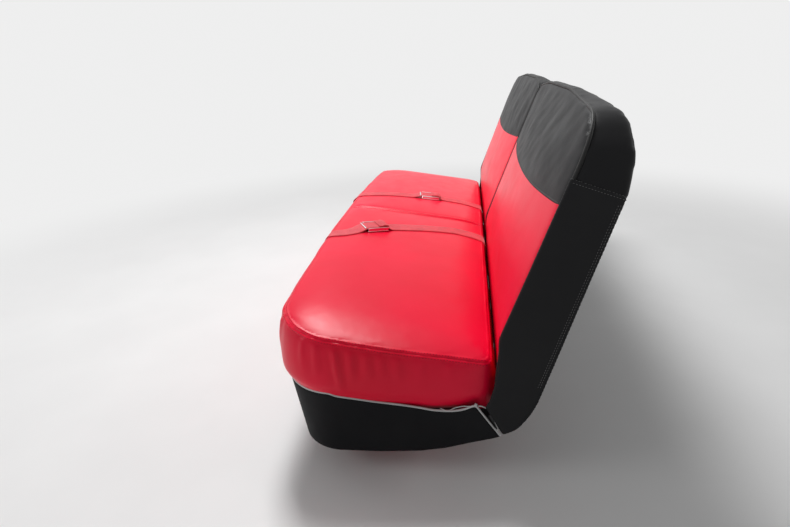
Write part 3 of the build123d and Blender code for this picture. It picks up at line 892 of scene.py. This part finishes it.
def make_back():
    "Crown the front, swell the outer side, inflate the body between its seams and wrinkle its yoke"
    obj = back_start("back_body_left")
    remesh(obj, voxel=0.008, rounds=4)
    co = coordinates(obj.data)
    x, y, z = co.T
    depth = y - BIGHT - np.array([face_line(height) for height in z])
    share = fall(0.004, 0.070, depth)
    y -= np.array([crown_forward(*place) for place in zip(x, z)]) * share
    above = smoothstep(-0.006, 0.003, side_seam(y, z))
    x += (0.0024 + 0.0021 * above) * smoothstep(0.730, 0.748, x)
    set_coordinates(obj.data, co)
    held = fall(0.004, 0.040, np.abs(depth - 0.003))
    yoke = np.abs(z - np.array([yoke_line(across) for across in x]))
    held = np.maximum(held, np.where(depth < 0.02, fall(0.004, 0.030, yoke), 0))
    held = np.maximum(held, fall(0.30, 0.36, z))
    edge_x = np.minimum(np.abs(x - SPLIT), np.abs(x - HALF_WIDTH))
    held = np.maximum(held, fall(0.004, 0.03, edge_x))
    inflate(obj, held, pressure=2.0, cap=0.012)
    subdivide(obj, 6)
    wrinkle(obj)
    return obj


# how thick the face's pad is, and how much the body stays clear of it
PAD_DEPTH = 0.012
PAD_CLEAR = 0.0003


def let_in(bm, chosen):
    "Sink chosen faces along their normals, with walls round them"
    made = bmesh.ops.extrude_face_region(bm, geom=chosen)
    moved = [v for v in made["geom"] if isinstance(v, bmesh.types.BMVert)]
    bmesh.ops.delete(bm, geom=chosen, context="FACES")
    bm.normal_update()
    for v, offset in [(v, v.normal * PAD_DEPTH) for v in moved]:
        v.co -= offset


def split_pad(obj, name, field_inside):
    "Take the faces inside a field off a closed body as a closed pad, and let the body in behind it"
    with editing(obj.data) as bm:
        bm.normal_update()
        chosen = [f for f in bm.faces if field_inside(f.calc_center_median(), f.normal)]
        index = {}
        for f in chosen:
            for v in f.verts:
                index.setdefault(v, len(index))
        count = len(index)
        points = [v.co.copy() for v in index] + [v.co - v.normal * (PAD_DEPTH - PAD_CLEAR) for v in index]
        faces = [tuple(index[v] for v in f.verts) for f in chosen]
        inner = [tuple(count + k for k in reversed(f)) for f in faces]
        chosen_set = set(chosen)
        walls = []
        for f in chosen:
            for loop in f.loops:
                if sum(1 for g in loop.edge.link_faces if g in chosen_set) == 1:
                    a, b = index[loop.vert], index[loop.link_loop_next.vert]
                    walls.append((b, a, count + a, count + b))
        pad = mesh_object(name, points, faces + inner + walls)
        let_in(bm, chosen)
    return pad


def border_field(co):
    "Negative in front of the back's piped border"
    return co.y - BIGHT - face_line(co.z) - PIPED


def yoke_field(co):
    "Negative below the yoke's seam"
    return co.z - yoke_line(co.x)


def is_face(co, normal):
    "Whether a place and direction of the body belong to its red face"
    return border_field(co) < 0 and yoke_field(co) < 0 and normal.y < 0.2


def pocket_cuts(obj):
    "Open the slots that the hinges stand in"
    for low, high in POCKETS:
        box = [(low, -0.1), (high, -0.1), (high, BIGHT + 0.050), (low, BIGHT + 0.050)]
        tool = prism("slot", [Vector(p) for p in box], lambda p, end: (p.x, p.y, POCKET_TOP * end))
        combine(obj, tool, "DIFFERENCE")


def piping_path():
    "The piping round the front panel of the left back"
    corners = [
        (SPLIT + 0.003, 0.216, 0.02), (SPLIT + 0.003, 0.710, 0.042), (0.150, 0.7262, 0.3), (0.430, 0.7262, 0.3),
        (HALF_WIDTH - PIPED, 0.700, 0.086), (HALF_WIDTH - PIPED, 0.216, 0.02),
    ]
    outline = resample([(p.x, 0, p.y) for p in rounded(corners)], 0.006, True)
    for p in outline:
        p[1] = BIGHT + face_line(p[2]) + PIPED
    return outline


# height below which the face is painted a darker red, as shade down in the bight, and has no gloss
FOOT_TOP = 0.243


def dull_foot_painted_shade(obj):
    "The face's foot, down in the bight, has no gloss"
    obj.data.materials.append(RED_PAINTED_SHADE)
    for f in obj.data.polygons:
        f.material_index = 1 if f.center.z < FOOT_TOP else 0


def make_backs():
    "Both backs: body, face pad and piping"
    body = make_back()
    with editing(body.data) as bm:
        cut(bm, border_field)
        cut(bm, lambda co: yoke_field(co) if co.y - BIGHT - face_line(co.z) < 0.02 else 1.0)
    pad = split_pad(body, "back_face_cover_left", is_face)
    for piece in (body, pad):
        pocket_cuts(piece)
        smooth_shading(piece)
    piping = tube("back_piping_left", relax(piping_path(), 4, True), BORDER_PIPING, True)
    for side, pieces in both_sides(body, pad, piping):
        carrier = "back_" + side
        dress(pieces[0], BLACK, carrier)
        dress(pieces[1], RED, carrier)
        # the face's foot gets the darker, glossless red: painted shade in the bight
        dull_foot_painted_shade(pieces[1])
        dress(pieces[2], PIPING, carrier)
        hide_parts("back_shell_" + side, "back_yoke_" + side)
        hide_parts("back_face_" + side)
    return body


left_back = make_backs()


# behind the bight, height, corner radius
BOARD_SIDE = [
    (-0.0220, 0.1765, 0.004), (-0.015, 0.188, 0.020), (-0.006, 0.219, 0.030), (0.002, 0.262, 0.060),
    (0.002, 0.315, 0.120), (0.1140, 0.6072, 0.002), (0.2025, 0.5750, 0.006), (0.081, 0.215, 0.040),
    (0.066, 0.173, 0.150), (0.035, 0.129, 0.060), (0.0095, 0.1190, 0.003),
]


def make_board():
    "The padded side board under the back's side seam"
    board = prism(
        "back_side_board_left", rounded(BOARD_SIDE),
        lambda p, end: (0.7493 + 0.0066 * end, BIGHT + p.x, p.y),
    )
    remesh(board, voxel=0.0026, rounds=2)
    co = coordinates(board.data)
    outer = smoothstep(0.7510, 0.7550, co[:, 0])
    wave = np.array([noise.noise(Vector((p[1] * 9, p[2] * 5, 0.3))) for p in co])
    co[:, 0] += outer * (0.0009 * wave + 0.0004)
    set_coordinates(board.data, co)
    return smooth_shading(board)


def board_rows(tree):
    "Topstitching: two rows over the side seam, and two along the board's rear edge"
    seam, edge = [(0.1185, 0.6035), (0.2010, 0.5740)], [(0.0815, 0.2250), (0.1985, 0.5600)]
    rows = [[(b, z + rise) for b, z in seam] for rise in (-0.0045, 0.0045)]
    rows += [[(b - inset, z) for b, z in edge] for inset in (0.006, 0.010)]
    return [row_on(tree, [(HALF_WIDTH + 0.001, BIGHT + b, z) for b, z in row], 0.0052) for row in rows]


def joined_rows(name, rows, radius):
    "Several rows of stitches as one piece"
    return merged(name, [stitches(name, points, normals, radius).data for points, normals in rows])


def yoke_seam(body):
    "The thin piping between face and yoke"
    tree = surface_of(body)
    pts = []
    for k in range(126):
        x = 0.0065 + (0.7475 - 0.0065) * k / 125
        z = yoke_line(x)
        hit = tree.ray_cast(Vector((x, -0.5, z + 0.0025)), Vector((0, 1, 0)))[0]
        pts.append((x, hit.y + 0.0002 if hit else BIGHT + face_line(z), z))
    return tube("back_yoke_piping_left", relax(pts, 3, False), YOKE_PIPING, False)


def dress_backs():
    "Side boards, their topstitching and the yokes' piping"
    board = make_board()
    tree = surface_of(board)
    thread = joined_rows("back_side_stitching_left", board_rows(tree), THREAD_BOARD)
    for side, pieces in both_sides(board, thread, yoke_seam(left_back)):
        carrier = "back_" + side
        dress(pieces[0], BOARD, carrier)
        dress(pieces[1], BLACK_THREAD, carrier)
        dress(pieces[2], PIPING, carrier)
        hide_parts("back_panel_" + side)


dress_backs()


# Shields: a tapered skirt in three pieces, and the grey bead on its top edge and down the slot

def skirt_plan(z):
    "Half width, front and corner radius of the skirt at a height"
    share = (z - 0.040) / 0.175
    return 0.740 + 0.014 * share, 0.396 + 0.034 * share, 0.092 + 0.023 * share


def skirt_point(u, level, inset):
    """A place on the skirt. u runs 0 to 1 along the left side from the slot, to 2 round the corner,
    to 3 along the front to the middle, and on to 6 round the right; level is 0 low and 1 high"""
    if u > 3:
        p = skirt_point(6 - u, level, inset)
        return Vector((-p.x, p.y, p.z))
    edges = []
    for rows in (SHIELD_LOW, SHIELD_TOP):
        ahead, z = 0.0, rows[-1][1]
        if u < 1:
            _, front, radius = skirt_plan(z)
            ahead = rows[0][0] + (front - radius - rows[0][0]) * u
            z = float(np.interp(ahead, *zip(*rows)))
        edges.append((ahead, z))
    (low_ahead, low_z), (top_ahead, top_z) = edges
    z = low_z + (top_z - low_z) * level
    half, front, radius = skirt_plan(z)
    if u < 1:
        return Vector((half - inset, BIGHT - low_ahead - (top_ahead - low_ahead) * level, z))
    if u < 2:
        angle = math.pi / 2 * (u - 1)
        reach = radius - inset
        return Vector((half - radius + reach * math.cos(angle), BIGHT - front + radius - reach * math.sin(angle), z))
    return Vector(((half - radius) * (3 - u), BIGHT - front + inset, z))


SHIELD_WALL = 0.0035


def make_shield(name, places):
    "One piece of the skirt: a thin wall with soft edges through places along it"
    levels = [k / 14 for k in range(15)]
    verts = []
    for u in places:
        ring = [skirt_point(u, w, 0) for w in levels]
        ring.append(skirt_point(u, 1, SHIELD_WALL / 2) + Vector((0, 0, 0.0010)))
        ring += [skirt_point(u, w, SHIELD_WALL) for w in reversed(levels)]
        ring.append(skirt_point(u, 0, SHIELD_WALL / 2) - Vector((0, 0, 0.0010)))
        middle = sum(ring, Vector()) / len(ring)
        wave = noise.noise(Vector((middle.x * 6, middle.y * 6, 2.1))) * 0.0008
        outward = (skirt_point(u, 0.5, 0) - skirt_point(u, 0.5, SHIELD_WALL)).normalized()
        verts.extend(p + outward * wave * math.sin(math.pi * min(1, max(0, (p.z - 0.06) / 0.11))) for p in ring)
    per = len(ring)
    obj = mesh_object(name, verts, sleeve(0, len(places), per) + caps(0, len(places), per))
    return smooth_shading(outward_normals(obj))


def make_shields():
    "Left, right and front, with their joins a little way round from the corners"
    join = 2.125
    side = [*np.linspace(0, 1, 40), *np.linspace(1, 2, 17)[1:], *np.linspace(2, join, 6)[1:]]
    left = make_shield("shield_cover_left", side)
    front = make_shield("valance_cover_front", np.linspace(join + 0.002, 6 - join - 0.002, 90))
    right = mirrored(left, "shield_cover_right")
    for obj, node in ((left, "shield_left"), (right, "shield_right"), (front, "valance_front")):
        dress(obj, SHIELD, "seat_base")
        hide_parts(node)


make_shields()


BEAD_RADIUS = 0.0020


def make_bead():
    "Up the slot, along the side and round to the middle of the front, and mirrored"
    path = [skirt_point(0, w, 0.0012) for w in np.linspace(0, 1, 12)]
    path += [skirt_point(u, 1, 0.0012) + Vector((0, 0, 0.0014)) for u in np.linspace(0, 3, 120)]
    left = relax(resample(path, 0.005, False), 2, False)
    right = left[::-1][1:] * np.array([-1, 1, 1])
    bead = tube("shield_bead", np.vstack([left, right]), BEAD_RADIUS, False)
    dress(bead, BEAD, "seat_base")


make_bead()


# Cushion seams

def chain(line):
    "The longest chain of cut vertices, in order"
    left = set(line)
    best = []
    while left:
        start = min(left, key=lambda v: (v.co.x, v.co.y, v.co.z))
        run = [start]
        left.discard(start)
        for _ in range(2):
            # to one end, then turned round, to the other
            while True:
                end = run[-1]
                ahead = [e.other_vert(end) for e in end.link_edges if e.other_vert(end) in left]
                if not ahead:
                    break
                run.append(min(ahead, key=lambda v: (v.co - end.co).length))
                left.discard(run[-1])
            run.reverse()
        if len(run) > len(best):
            best = run
    return best


WELT_STEP = 0.003
# the middle seam: how near the welt it ends, half its width, and the height that only the top lies above
SEAM_END = 0.0099
SEAM_HALF = 0.0031
TOP_ONLY = 0.22


def seam_field(co):
    "Zero on the seam: at the welt's height, just inside the plan's edge"
    depth = float(inward(np.float64(co.x), np.float64(co.y)))
    return co.z - float(edge_height(co.x, co.y)) + 0.6 * (depth - 0.003)


# distance from the seam, how far the cover stands out there
SEAM_PROFILE = (
    (0.0, 0.0020, 0.0060, 0.0074, 0.014, 0.030),
    (-0.0009, 0.0012, 0.0012, 0.0003, 0.0, 0.0),
)
# x and y of a fold in the boxing, how far it stands out, its width, lean towards the rear, and length
FOLDS = [
    (0.742, -0.231, 0.0016, 0.0060, 0.05, 0.075), (0.754, -0.203, 0.0021, 0.0065, 0.12, 0.085),
    (0.754, -0.172, 0.0034, 0.0075, 0.25, 0.110), (0.754, -0.138, 0.0024, 0.0070, 0.14, 0.080),
    (0.754, -0.109, 0.0019, 0.0080, 0.15, 0.070), (0.754, -0.082, 0.0012, 0.0070, 0.16, 0.060),
    (0.754, -0.053, 0.0016, 0.0085, 0.16, 0.070), (0.750, -0.007, 0.0010, 0.0090, 0.08, 0.060),
    (0.744, 0.045, 0.0007, 0.0090, 0.08, 0.055),
]


def more_folds():
    "Folds along the front, round its corners and down the other side, at uneven steps"
    rows = list(FOLDS)
    place = Vector((0.37, 0.71, 0.23))

    def draw():
        nonlocal place
        place += Vector((1.13, 0.57, 0.31))
        return noise.noise(place), noise.noise(place + Vector((5.3, 2.1, 8.7)))

    x = 0.690
    while x > -0.700:
        a, b = draw()
        rows.append((x, -0.300, 0.0016 + 0.0012 * a, 0.0085 + 0.002 * b, 0.3 * b, 0.075 + 0.03 * a))
        x -= 0.043 + 0.022 * b
    y = -0.225
    while y < 0.06:
        a, b = draw()
        fade = 1 - 0.6 * smoothstep(-0.15, 0.05, y)
        rows.append((-0.754, y, (0.0022 + 0.0014 * a) * fade, 0.0072 + 0.0015 * b, -0.14 - 0.1 * b, 0.08 + 0.03 * a))
        y += 0.032 + 0.010 * b
    return rows


def sew_cushion(obj):
    "French seam round the top, a raised seam on the middle line, and puckers below the welt"
    bm = bmesh.new()
    bm.from_mesh(obj.data)
    line = chain(cut(bm, seam_field))
    welt = relax(resample([v.co for v in line], WELT_STEP, True), 3, True)
    tree = distance_to(welt)
    for reach in (0.0020, 0.0060, 0.0074):
        cut(bm, lambda co: tree.find(co)[2] - reach, 0.0002)
    for reach in (-0.0045, -0.0030, 0.0030, 0.0045):
        cut(bm, lambda co: co.x - reach if co.z > TOP_ONLY and tree.find(co)[2] > SEAM_END else 1.0, 0.0002)
    bm.normal_update()
    total = len(welt)
    folds = [(tree.find(Vector((x, y, float(edge_height(x, y)))))[1], *row) for x, y, *row in more_folds()]
    # the welt's points may run either way round
    way = 1 if (welt[folds[2][0]] - welt[folds[1][0]])[1] * (folds[2][0] - folds[1][0]) > 0 else -1
    for v in bm.verts:
        normal = v.normal.copy()
        _, index, near = tree.find(v.co)
        move = float(np.interp(near, *SEAM_PROFILE))
        below = float(edge_height(v.co.x, v.co.y)) - v.co.z
        if below > 0.004 and v.co.z > 0.152:
            tangent = welt[(index + 1) % total] - welt[index - 1]
            tangent = tangent / np.linalg.norm(tangent)
            here = index + float(np.dot(np.array(v.co) - welt[index], tangent)) / WELT_STEP
            for start, tall, wide, lean, reach in folds:
                away = (here - start + total / 2) % total - total / 2
                away = (away * WELT_STEP * way - lean * below) / wide
                if abs(away) < 3 and below < reach:
                    rise = smoothstep(0.005, 0.016, below) * fall(0.45 * reach, reach, below)
                    move += 1.7 * tall * rise * (math.exp(-away * away) - 0.35 * math.exp(-(away / 2) ** 2))
            slow = noise.noise(Vector((here * 0.05, below * 14, 1.7)))
            move += 0.0016 * slow * (smoothstep(0.012, 0.040, below) * fall(0.080, 0.120, below))
        elif near > SEAM_END and v.co.z > TOP_ONLY:
            away = abs(v.co.x) - SEAM_HALF
            fade = min(1.0, (near - SEAM_END) / 0.02)
            if away < 0:
                move += 0.0016 * fade
            elif away > 0:
                move -= 0.0028 * fade * math.exp(-(away / 0.014) ** 2)
        v.co += normal * move
    bm.to_mesh(obj.data)
    bm.free()
    obj.data.update()
    smooth_shading(obj)
    return welt


STITCH_STEP = 0.0056


def cushion_rows(welt, tree):
    "Two rows of topstitching beside the welt, left out behind, and one beside the middle seam"
    edge = []
    for x, y, z in welt:
        if y <= BIGHT - 0.020:
            out_x = float(inward(x - 0.001, y) - inward(x + 0.001, y))
            out_y = float(inward(x, y - 0.001) - inward(x, y + 0.001))
            edge.append((x, y, z, np.array([out_x, out_y]) / max(np.linalg.norm([out_x, out_y]), 1e-9)))
    rows = []
    # how far inside the welt, how far above it
    for inside, rise in ((0.0042, 0.0014), (-0.0010, -0.0046)):
        points = [(x - out[0] * inside, y - out[1] * inside, z + rise) for x, y, z, out in edge]
        points.sort(key=lambda p: math.atan2(p[0], -(p[1] - BIGHT)))
        rows.append(row_on(tree, points, STITCH_STEP))
    middle = [(0.0068, y, float(cushion_top(np.float64(0.0), np.float64(y)))) for y in np.linspace(-0.270, 0.112, 60)]
    rows.append(row_on(tree, middle, STITCH_STEP))
    return rows


welt = sew_cushion(cushion)
cushion_tree = surface_of(cushion)
thread = joined_rows("cushion_stitching", cushion_rows(welt, cushion_tree), THREAD_CUSHION)
dress(thread, RED_THREAD, "seat_base")


# Belts: one strap each, out of the bight, over its buckle and over the cushion's front edge

# where the straps end in front, where they turn down, and where they end in the bight
HANG_LOW = 0.252
FOLD_OVER = -0.256
BIGHT_END = 0.170
STRAP_STEP = 0.005
STRAP_WIDE = 0.048
STRAP_THICK = 0.0018
STRAP_LIFT = 0.0007


def ground(place, direction):
    "Where a line from outside meets the cushion, and the cushion's outward direction there"
    hit, normal, _, _ = cushion_tree.ray_cast(place, direction)
    if hit is None:
        hit, normal, _, _ = cushion_tree.find_nearest(place)
    return hit, normal


def lie(path):
    "A belt's middle line on the cushion: along the top, round the front edge and down the front"
    plan = resample([(x, y, 0) for x, y in path], STRAP_STEP, False)
    line = [ground(Vector((x, y, 0.6)), Vector((0, 0, -1)))[0] for x, y, _ in plan if y > FOLD_OVER]
    x, *_, last_x = [p[0] for p in plan if p[1] <= FOLD_OVER]
    drift = last_x - x
    pivot_z = line[-1].z - 0.040
    for k in range(1, 13):
        angle = math.pi / 2 * k / 12
        pivot = Vector((x + drift * 0.7 * k / 12, FOLD_OVER, pivot_z))
        outward = Vector((0, -math.sin(angle), math.cos(angle)))
        line.append(ground(pivot + outward * 0.25, -outward)[0])
    for z in np.linspace(pivot_z - 0.005, HANG_LOW, 7):
        share = 0.7 + 0.3 * (pivot_z - z) / max(pivot_z - HANG_LOW, 0.01)
        line.append(ground(Vector((x + drift * share, -0.6, z)), Vector((0, 1, 0)))[0])
    return relax(resample(line, STRAP_STEP, False), 4, False)


def strap(name, path, buckle):
    "A flat strap along a path on the cushion, raised over its buckle, its rear end down in the bight"
    line = [Vector(p) for p in lie(path)]
    count = len(line)
    across = 8
    at = min(range(count), key=lambda i: (line[i].xy - Vector(buckle)).length)
    offsets = [STRAP_WIDE * (k / across - 0.5) for k in range(across + 1)]
    rows, frames = [], []
    for i, p in enumerate(line):
        along = (line[min(i + 2, count - 1)] - line[max(i - 2, 0)]).normalized()
        normal = cushion_tree.find_nearest(p)[1]
        side = along.cross(normal).normalized()
        normal = side.cross(along).normalized()
        heights = []
        for offset in offsets:
            hit, _ = ground(p + side * offset + normal * 0.04, -normal)
            heights.append(max(-0.01, min(0.01, (hit - p).dot(normal))))
        top = max(heights)
        # distance along the strap ahead of the buckle's middle
        ahead = (i - at) * STRAP_STEP
        rise = smoothstep(-0.042, -0.030, ahead) * fall(0.024, 0.062, ahead)
        gather = smoothstep(-0.044, -0.034, ahead) * fall(-0.022, -0.012, ahead)
        up = STRAP_LIFT + 0.0098 * rise + 0.0012 * math.sin(ahead * 420) * gather
        rows.append([p + side * offset + normal * (0.3 * h + 0.7 * top + up) for offset, h in zip(offsets, heights)])
        frames.append((p + normal * (top + STRAP_LIFT), side, along, normal))
    first = rows[0]
    for step, z in enumerate(np.linspace(first[0].z - 0.006, BIGHT_END, 14)):
        rows.insert(0, [Vector((p.x, p.y + min(0.004, 0.002 * (step + 1)), z)) for p in first])
    for _ in range(2):
        rows = [rows[0]] + [
            [(rows[i - 1][k] + rows[i][k] * 2 + rows[i + 1][k]) / 4 for k in range(across + 1)]
            for i in range(1, len(rows) - 1)
        ] + [rows[-1]]
    verts = []
    per = 2 * (across + 1)
    for i, row in enumerate(rows):
        along = (rows[min(i + 1, len(rows) - 1)][across // 2] - rows[max(i - 1, 0)][across // 2]).normalized()
        up = (row[-1] - row[0]).normalized().cross(along)
        verts.extend(row)
        for k in range(across, -1, -1):
            # thinner at the two edges, like a woven edge
            thick = STRAP_THICK * (0.55 if k in (0, across) else 1.0)
            verts.append(row[k] + up * thick)
    obj = mesh_object(name, verts, sleeve(0, len(rows), per) + caps(0, len(rows), per))
    return smooth_shading(outward_normals(obj)), frames, at


def block(size, place, turn_x=0.0, bevel=0.0008):
    "A small solid block with soft edges, in the buckle's own frame"
    mesh = bpy.data.meshes.new("block")
    with editing(mesh) as bm:
        bmesh.ops.create_cube(bm, size=1.0)
        bmesh.ops.scale(bm, vec=size, verts=bm.verts)
        bmesh.ops.bevel(bm, geom=list(bm.edges), offset=bevel, segments=3, affect="EDGES", profile=0.5)
    mesh.transform(Matrix.Translation(place) @ Matrix.Rotation(turn_x, 4, "X"))
    return mesh


def gathered(name, meshes, frame_of):
    "Several small meshes as one object, set in a frame of place, side, along and normal"
    place, *axes = frame_of
    obj = merged(name, meshes)
    obj.data.transform(Matrix.Translation(place) @ Matrix(axes).transposed().to_4x4())
    return outward_normals(obj)


def taken(obj):
    "An object's mesh, without the object"
    mesh = obj.data
    bpy.data.objects.remove(obj)
    return mesh


def rod(start, end, radius):
    "A round bar between two places"
    return taken(tube("rod", resample([start, end], 0.004, False), radius, False, 12))


def slotted_plate(width, high, thick, slot_wide, slot_high, slot_at):
    "A flat plate with round corners and a slot, lying in its own frame"
    def slab(wide, tall, at, radius, deep):
        x, y = wide / 2, tall / 2
        corners = [(-x, at - y, radius), (x, at - y, radius), (x, at + y, radius), (-x, at + y, radius)]
        return prism("slab", rounded(corners), lambda p, end: (p.x, p.y, deep * (end - 0.5)))

    plate = slab(width, high, 0, 0.008, thick)
    tool = slab(slot_wide, slot_high, slot_at, 0.004, 0.02)
    combine(plate, tool, "DIFFERENCE")
    put(plate.modifiers.new("bevel", "BEVEL"), width=0.0006, segments=2, limit_method="ANGLE")
    bake(plate)
    return taken(plate)


# side, path in plan, the buckle's place
BELTS = [
    ("left", [(0.129, 0.121), (0.129, 0.040), (0.150, -0.050), (0.178, -0.130), (0.205, -0.182), (0.232, -0.222),
              (0.262, -0.258), (0.268, -0.290)], (0.205, -0.182)),
    ("right", [(-0.206, 0.121), (-0.203, 0.040), (-0.198, -0.056), (-0.190, -0.110), (-0.181, -0.160),
               (-0.165, -0.227), (-0.155, -0.290)], (-0.198, -0.056)),
]


def make_belts():
    "Each belt's strap, its buckle with the webbing folded round it, and the right belt's tongue plate"
    for side, path, buckle in BELTS:
        belt, frames, at = strap("belt_strap_" + side, path, buckle)
        dress(belt, WEBBING, "seat_base")
        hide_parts("belt_" + side)
        shell = [
            block((0.058, 0.062, 0.0022), (0, 0, 0.0012)),
            block((0.0022, 0.060, 0.0100), (0.0275, 0, 0.0060)),
            block((0.0022, 0.060, 0.0100), (-0.0275, 0, 0.0060)),
            block((0.046, 0.040, 0.0022), (0, 0.013, 0.0072), 0.04),
            block((0.046, 0.006, 0.0024), (0, 0.0345, 0.0092), 0.5),
            rod((-0.026, -0.022, 0.0062), (0.026, -0.022, 0.0062), 0.0025),
        ]
        metal_part = gathered("belt_buckle_" + side, shell, frames[at])
        dress(metal_part, CHROME, "seat_base")
        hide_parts("buckle_" + side)
        # folds of webbing that are turned round the buckle's rear bar
        folds = [
            block((0.049, 0.0120, 0.0040), (0, -0.0275, 0.0130), 0.30, 0.0018),
            block((0.047, 0.0100, 0.0036), (0.0006, -0.0180, 0.0138), -0.22, 0.0016),
            block((0.048, 0.0110, 0.0034), (-0.0004, -0.0090, 0.0132), 0.14, 0.0015),
        ]
        loops = gathered("belt_folds_" + side, folds, frames[at])
        dress(loops, WEBBING, "seat_base")
        if side == "right":
            hanging = [f for f in frames if f[0].y < -0.25]
            place, across, along, normal = min(hanging, key=lambda f: abs(f[0].z - 0.247))
            front = (place + normal * 0.0040, across, along, normal)
            plate = slotted_plate(0.054, 0.046, thick=0.0025, slot_wide=0.036, slot_high=0.012, slot_at=-0.010)
            plate = gathered("belt_tongue_plate", [plate], front)
            dress(plate, CHROME, "seat_base")
            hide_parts("tongue_right")
            loop = block((0.033, 0.024, 0.0018), (0, -0.0085, 0.0026), 0.0, 0.0007)
            loop = gathered("belt_tongue_loop", [loop], front)
            dress(loop, WEBBING, "seat_base")


make_belts()


# Small parts at the shield's rear corner: the bead's end cap, its return, and a wire hook in the slot

def on_side(points):
    "Points on the side at half width, from distance ahead of the bight and height"
    return [(HALF_WIDTH - 0.0050, BIGHT - ahead, z) for ahead, z in points]


def make_corner_parts():
    "The small parts as tubes, merged"
    # rows of points, radius, rounds of smoothing
    rows = [
        ([(0.0410, 0.1795), (0.0365, 0.1775)], 0.0026, 0),
        ([(0.0345, 0.1765), (0.0275, 0.1760), (0.0205, 0.1725)], 0.0012, 2),
        ([(0.1050, 0.1680), (0.0970, 0.1640), (0.0900, 0.1625), (0.0770, 0.1705), (0.0630, 0.1745), (0.0500, 0.1745),
          (0.0420, 0.1765)], 0.0009, 6),
        ([(0.0050, 0.1460), (0.0020, 0.1380), (-0.0010, 0.1310), (-0.0020, 0.1265), (0.0005, 0.1235), (0.0030, 0.1255),
          (0.0030, 0.1300)], 0.0009, 2),
    ]
    parts = [
        tube("part", relax(resample(on_side(points), 0.0015, False), rounds, False), radius, False).data
        for points, radius, rounds in rows
    ]
    for _, (obj,) in both_sides(merged("shield_corner_trim_left", parts)):
        dress(obj, BEAD, "seat_base")


make_corner_parts()


# Carried-over nodes

looks = {
    "frame_paint": PAINT,
    "plated_steel": PLATED,
    "black_vinyl": SHIELD,
    "red_vinyl": RED,
    "belt_webbing": WEBBING,
    "buckle_chrome": CHROME,
}
for row in frame["record"]["subparts"]:
    node = nodes[row["node"]]
    node.data.materials.clear()
    node.data.materials.append(looks[row["material_slot"]])
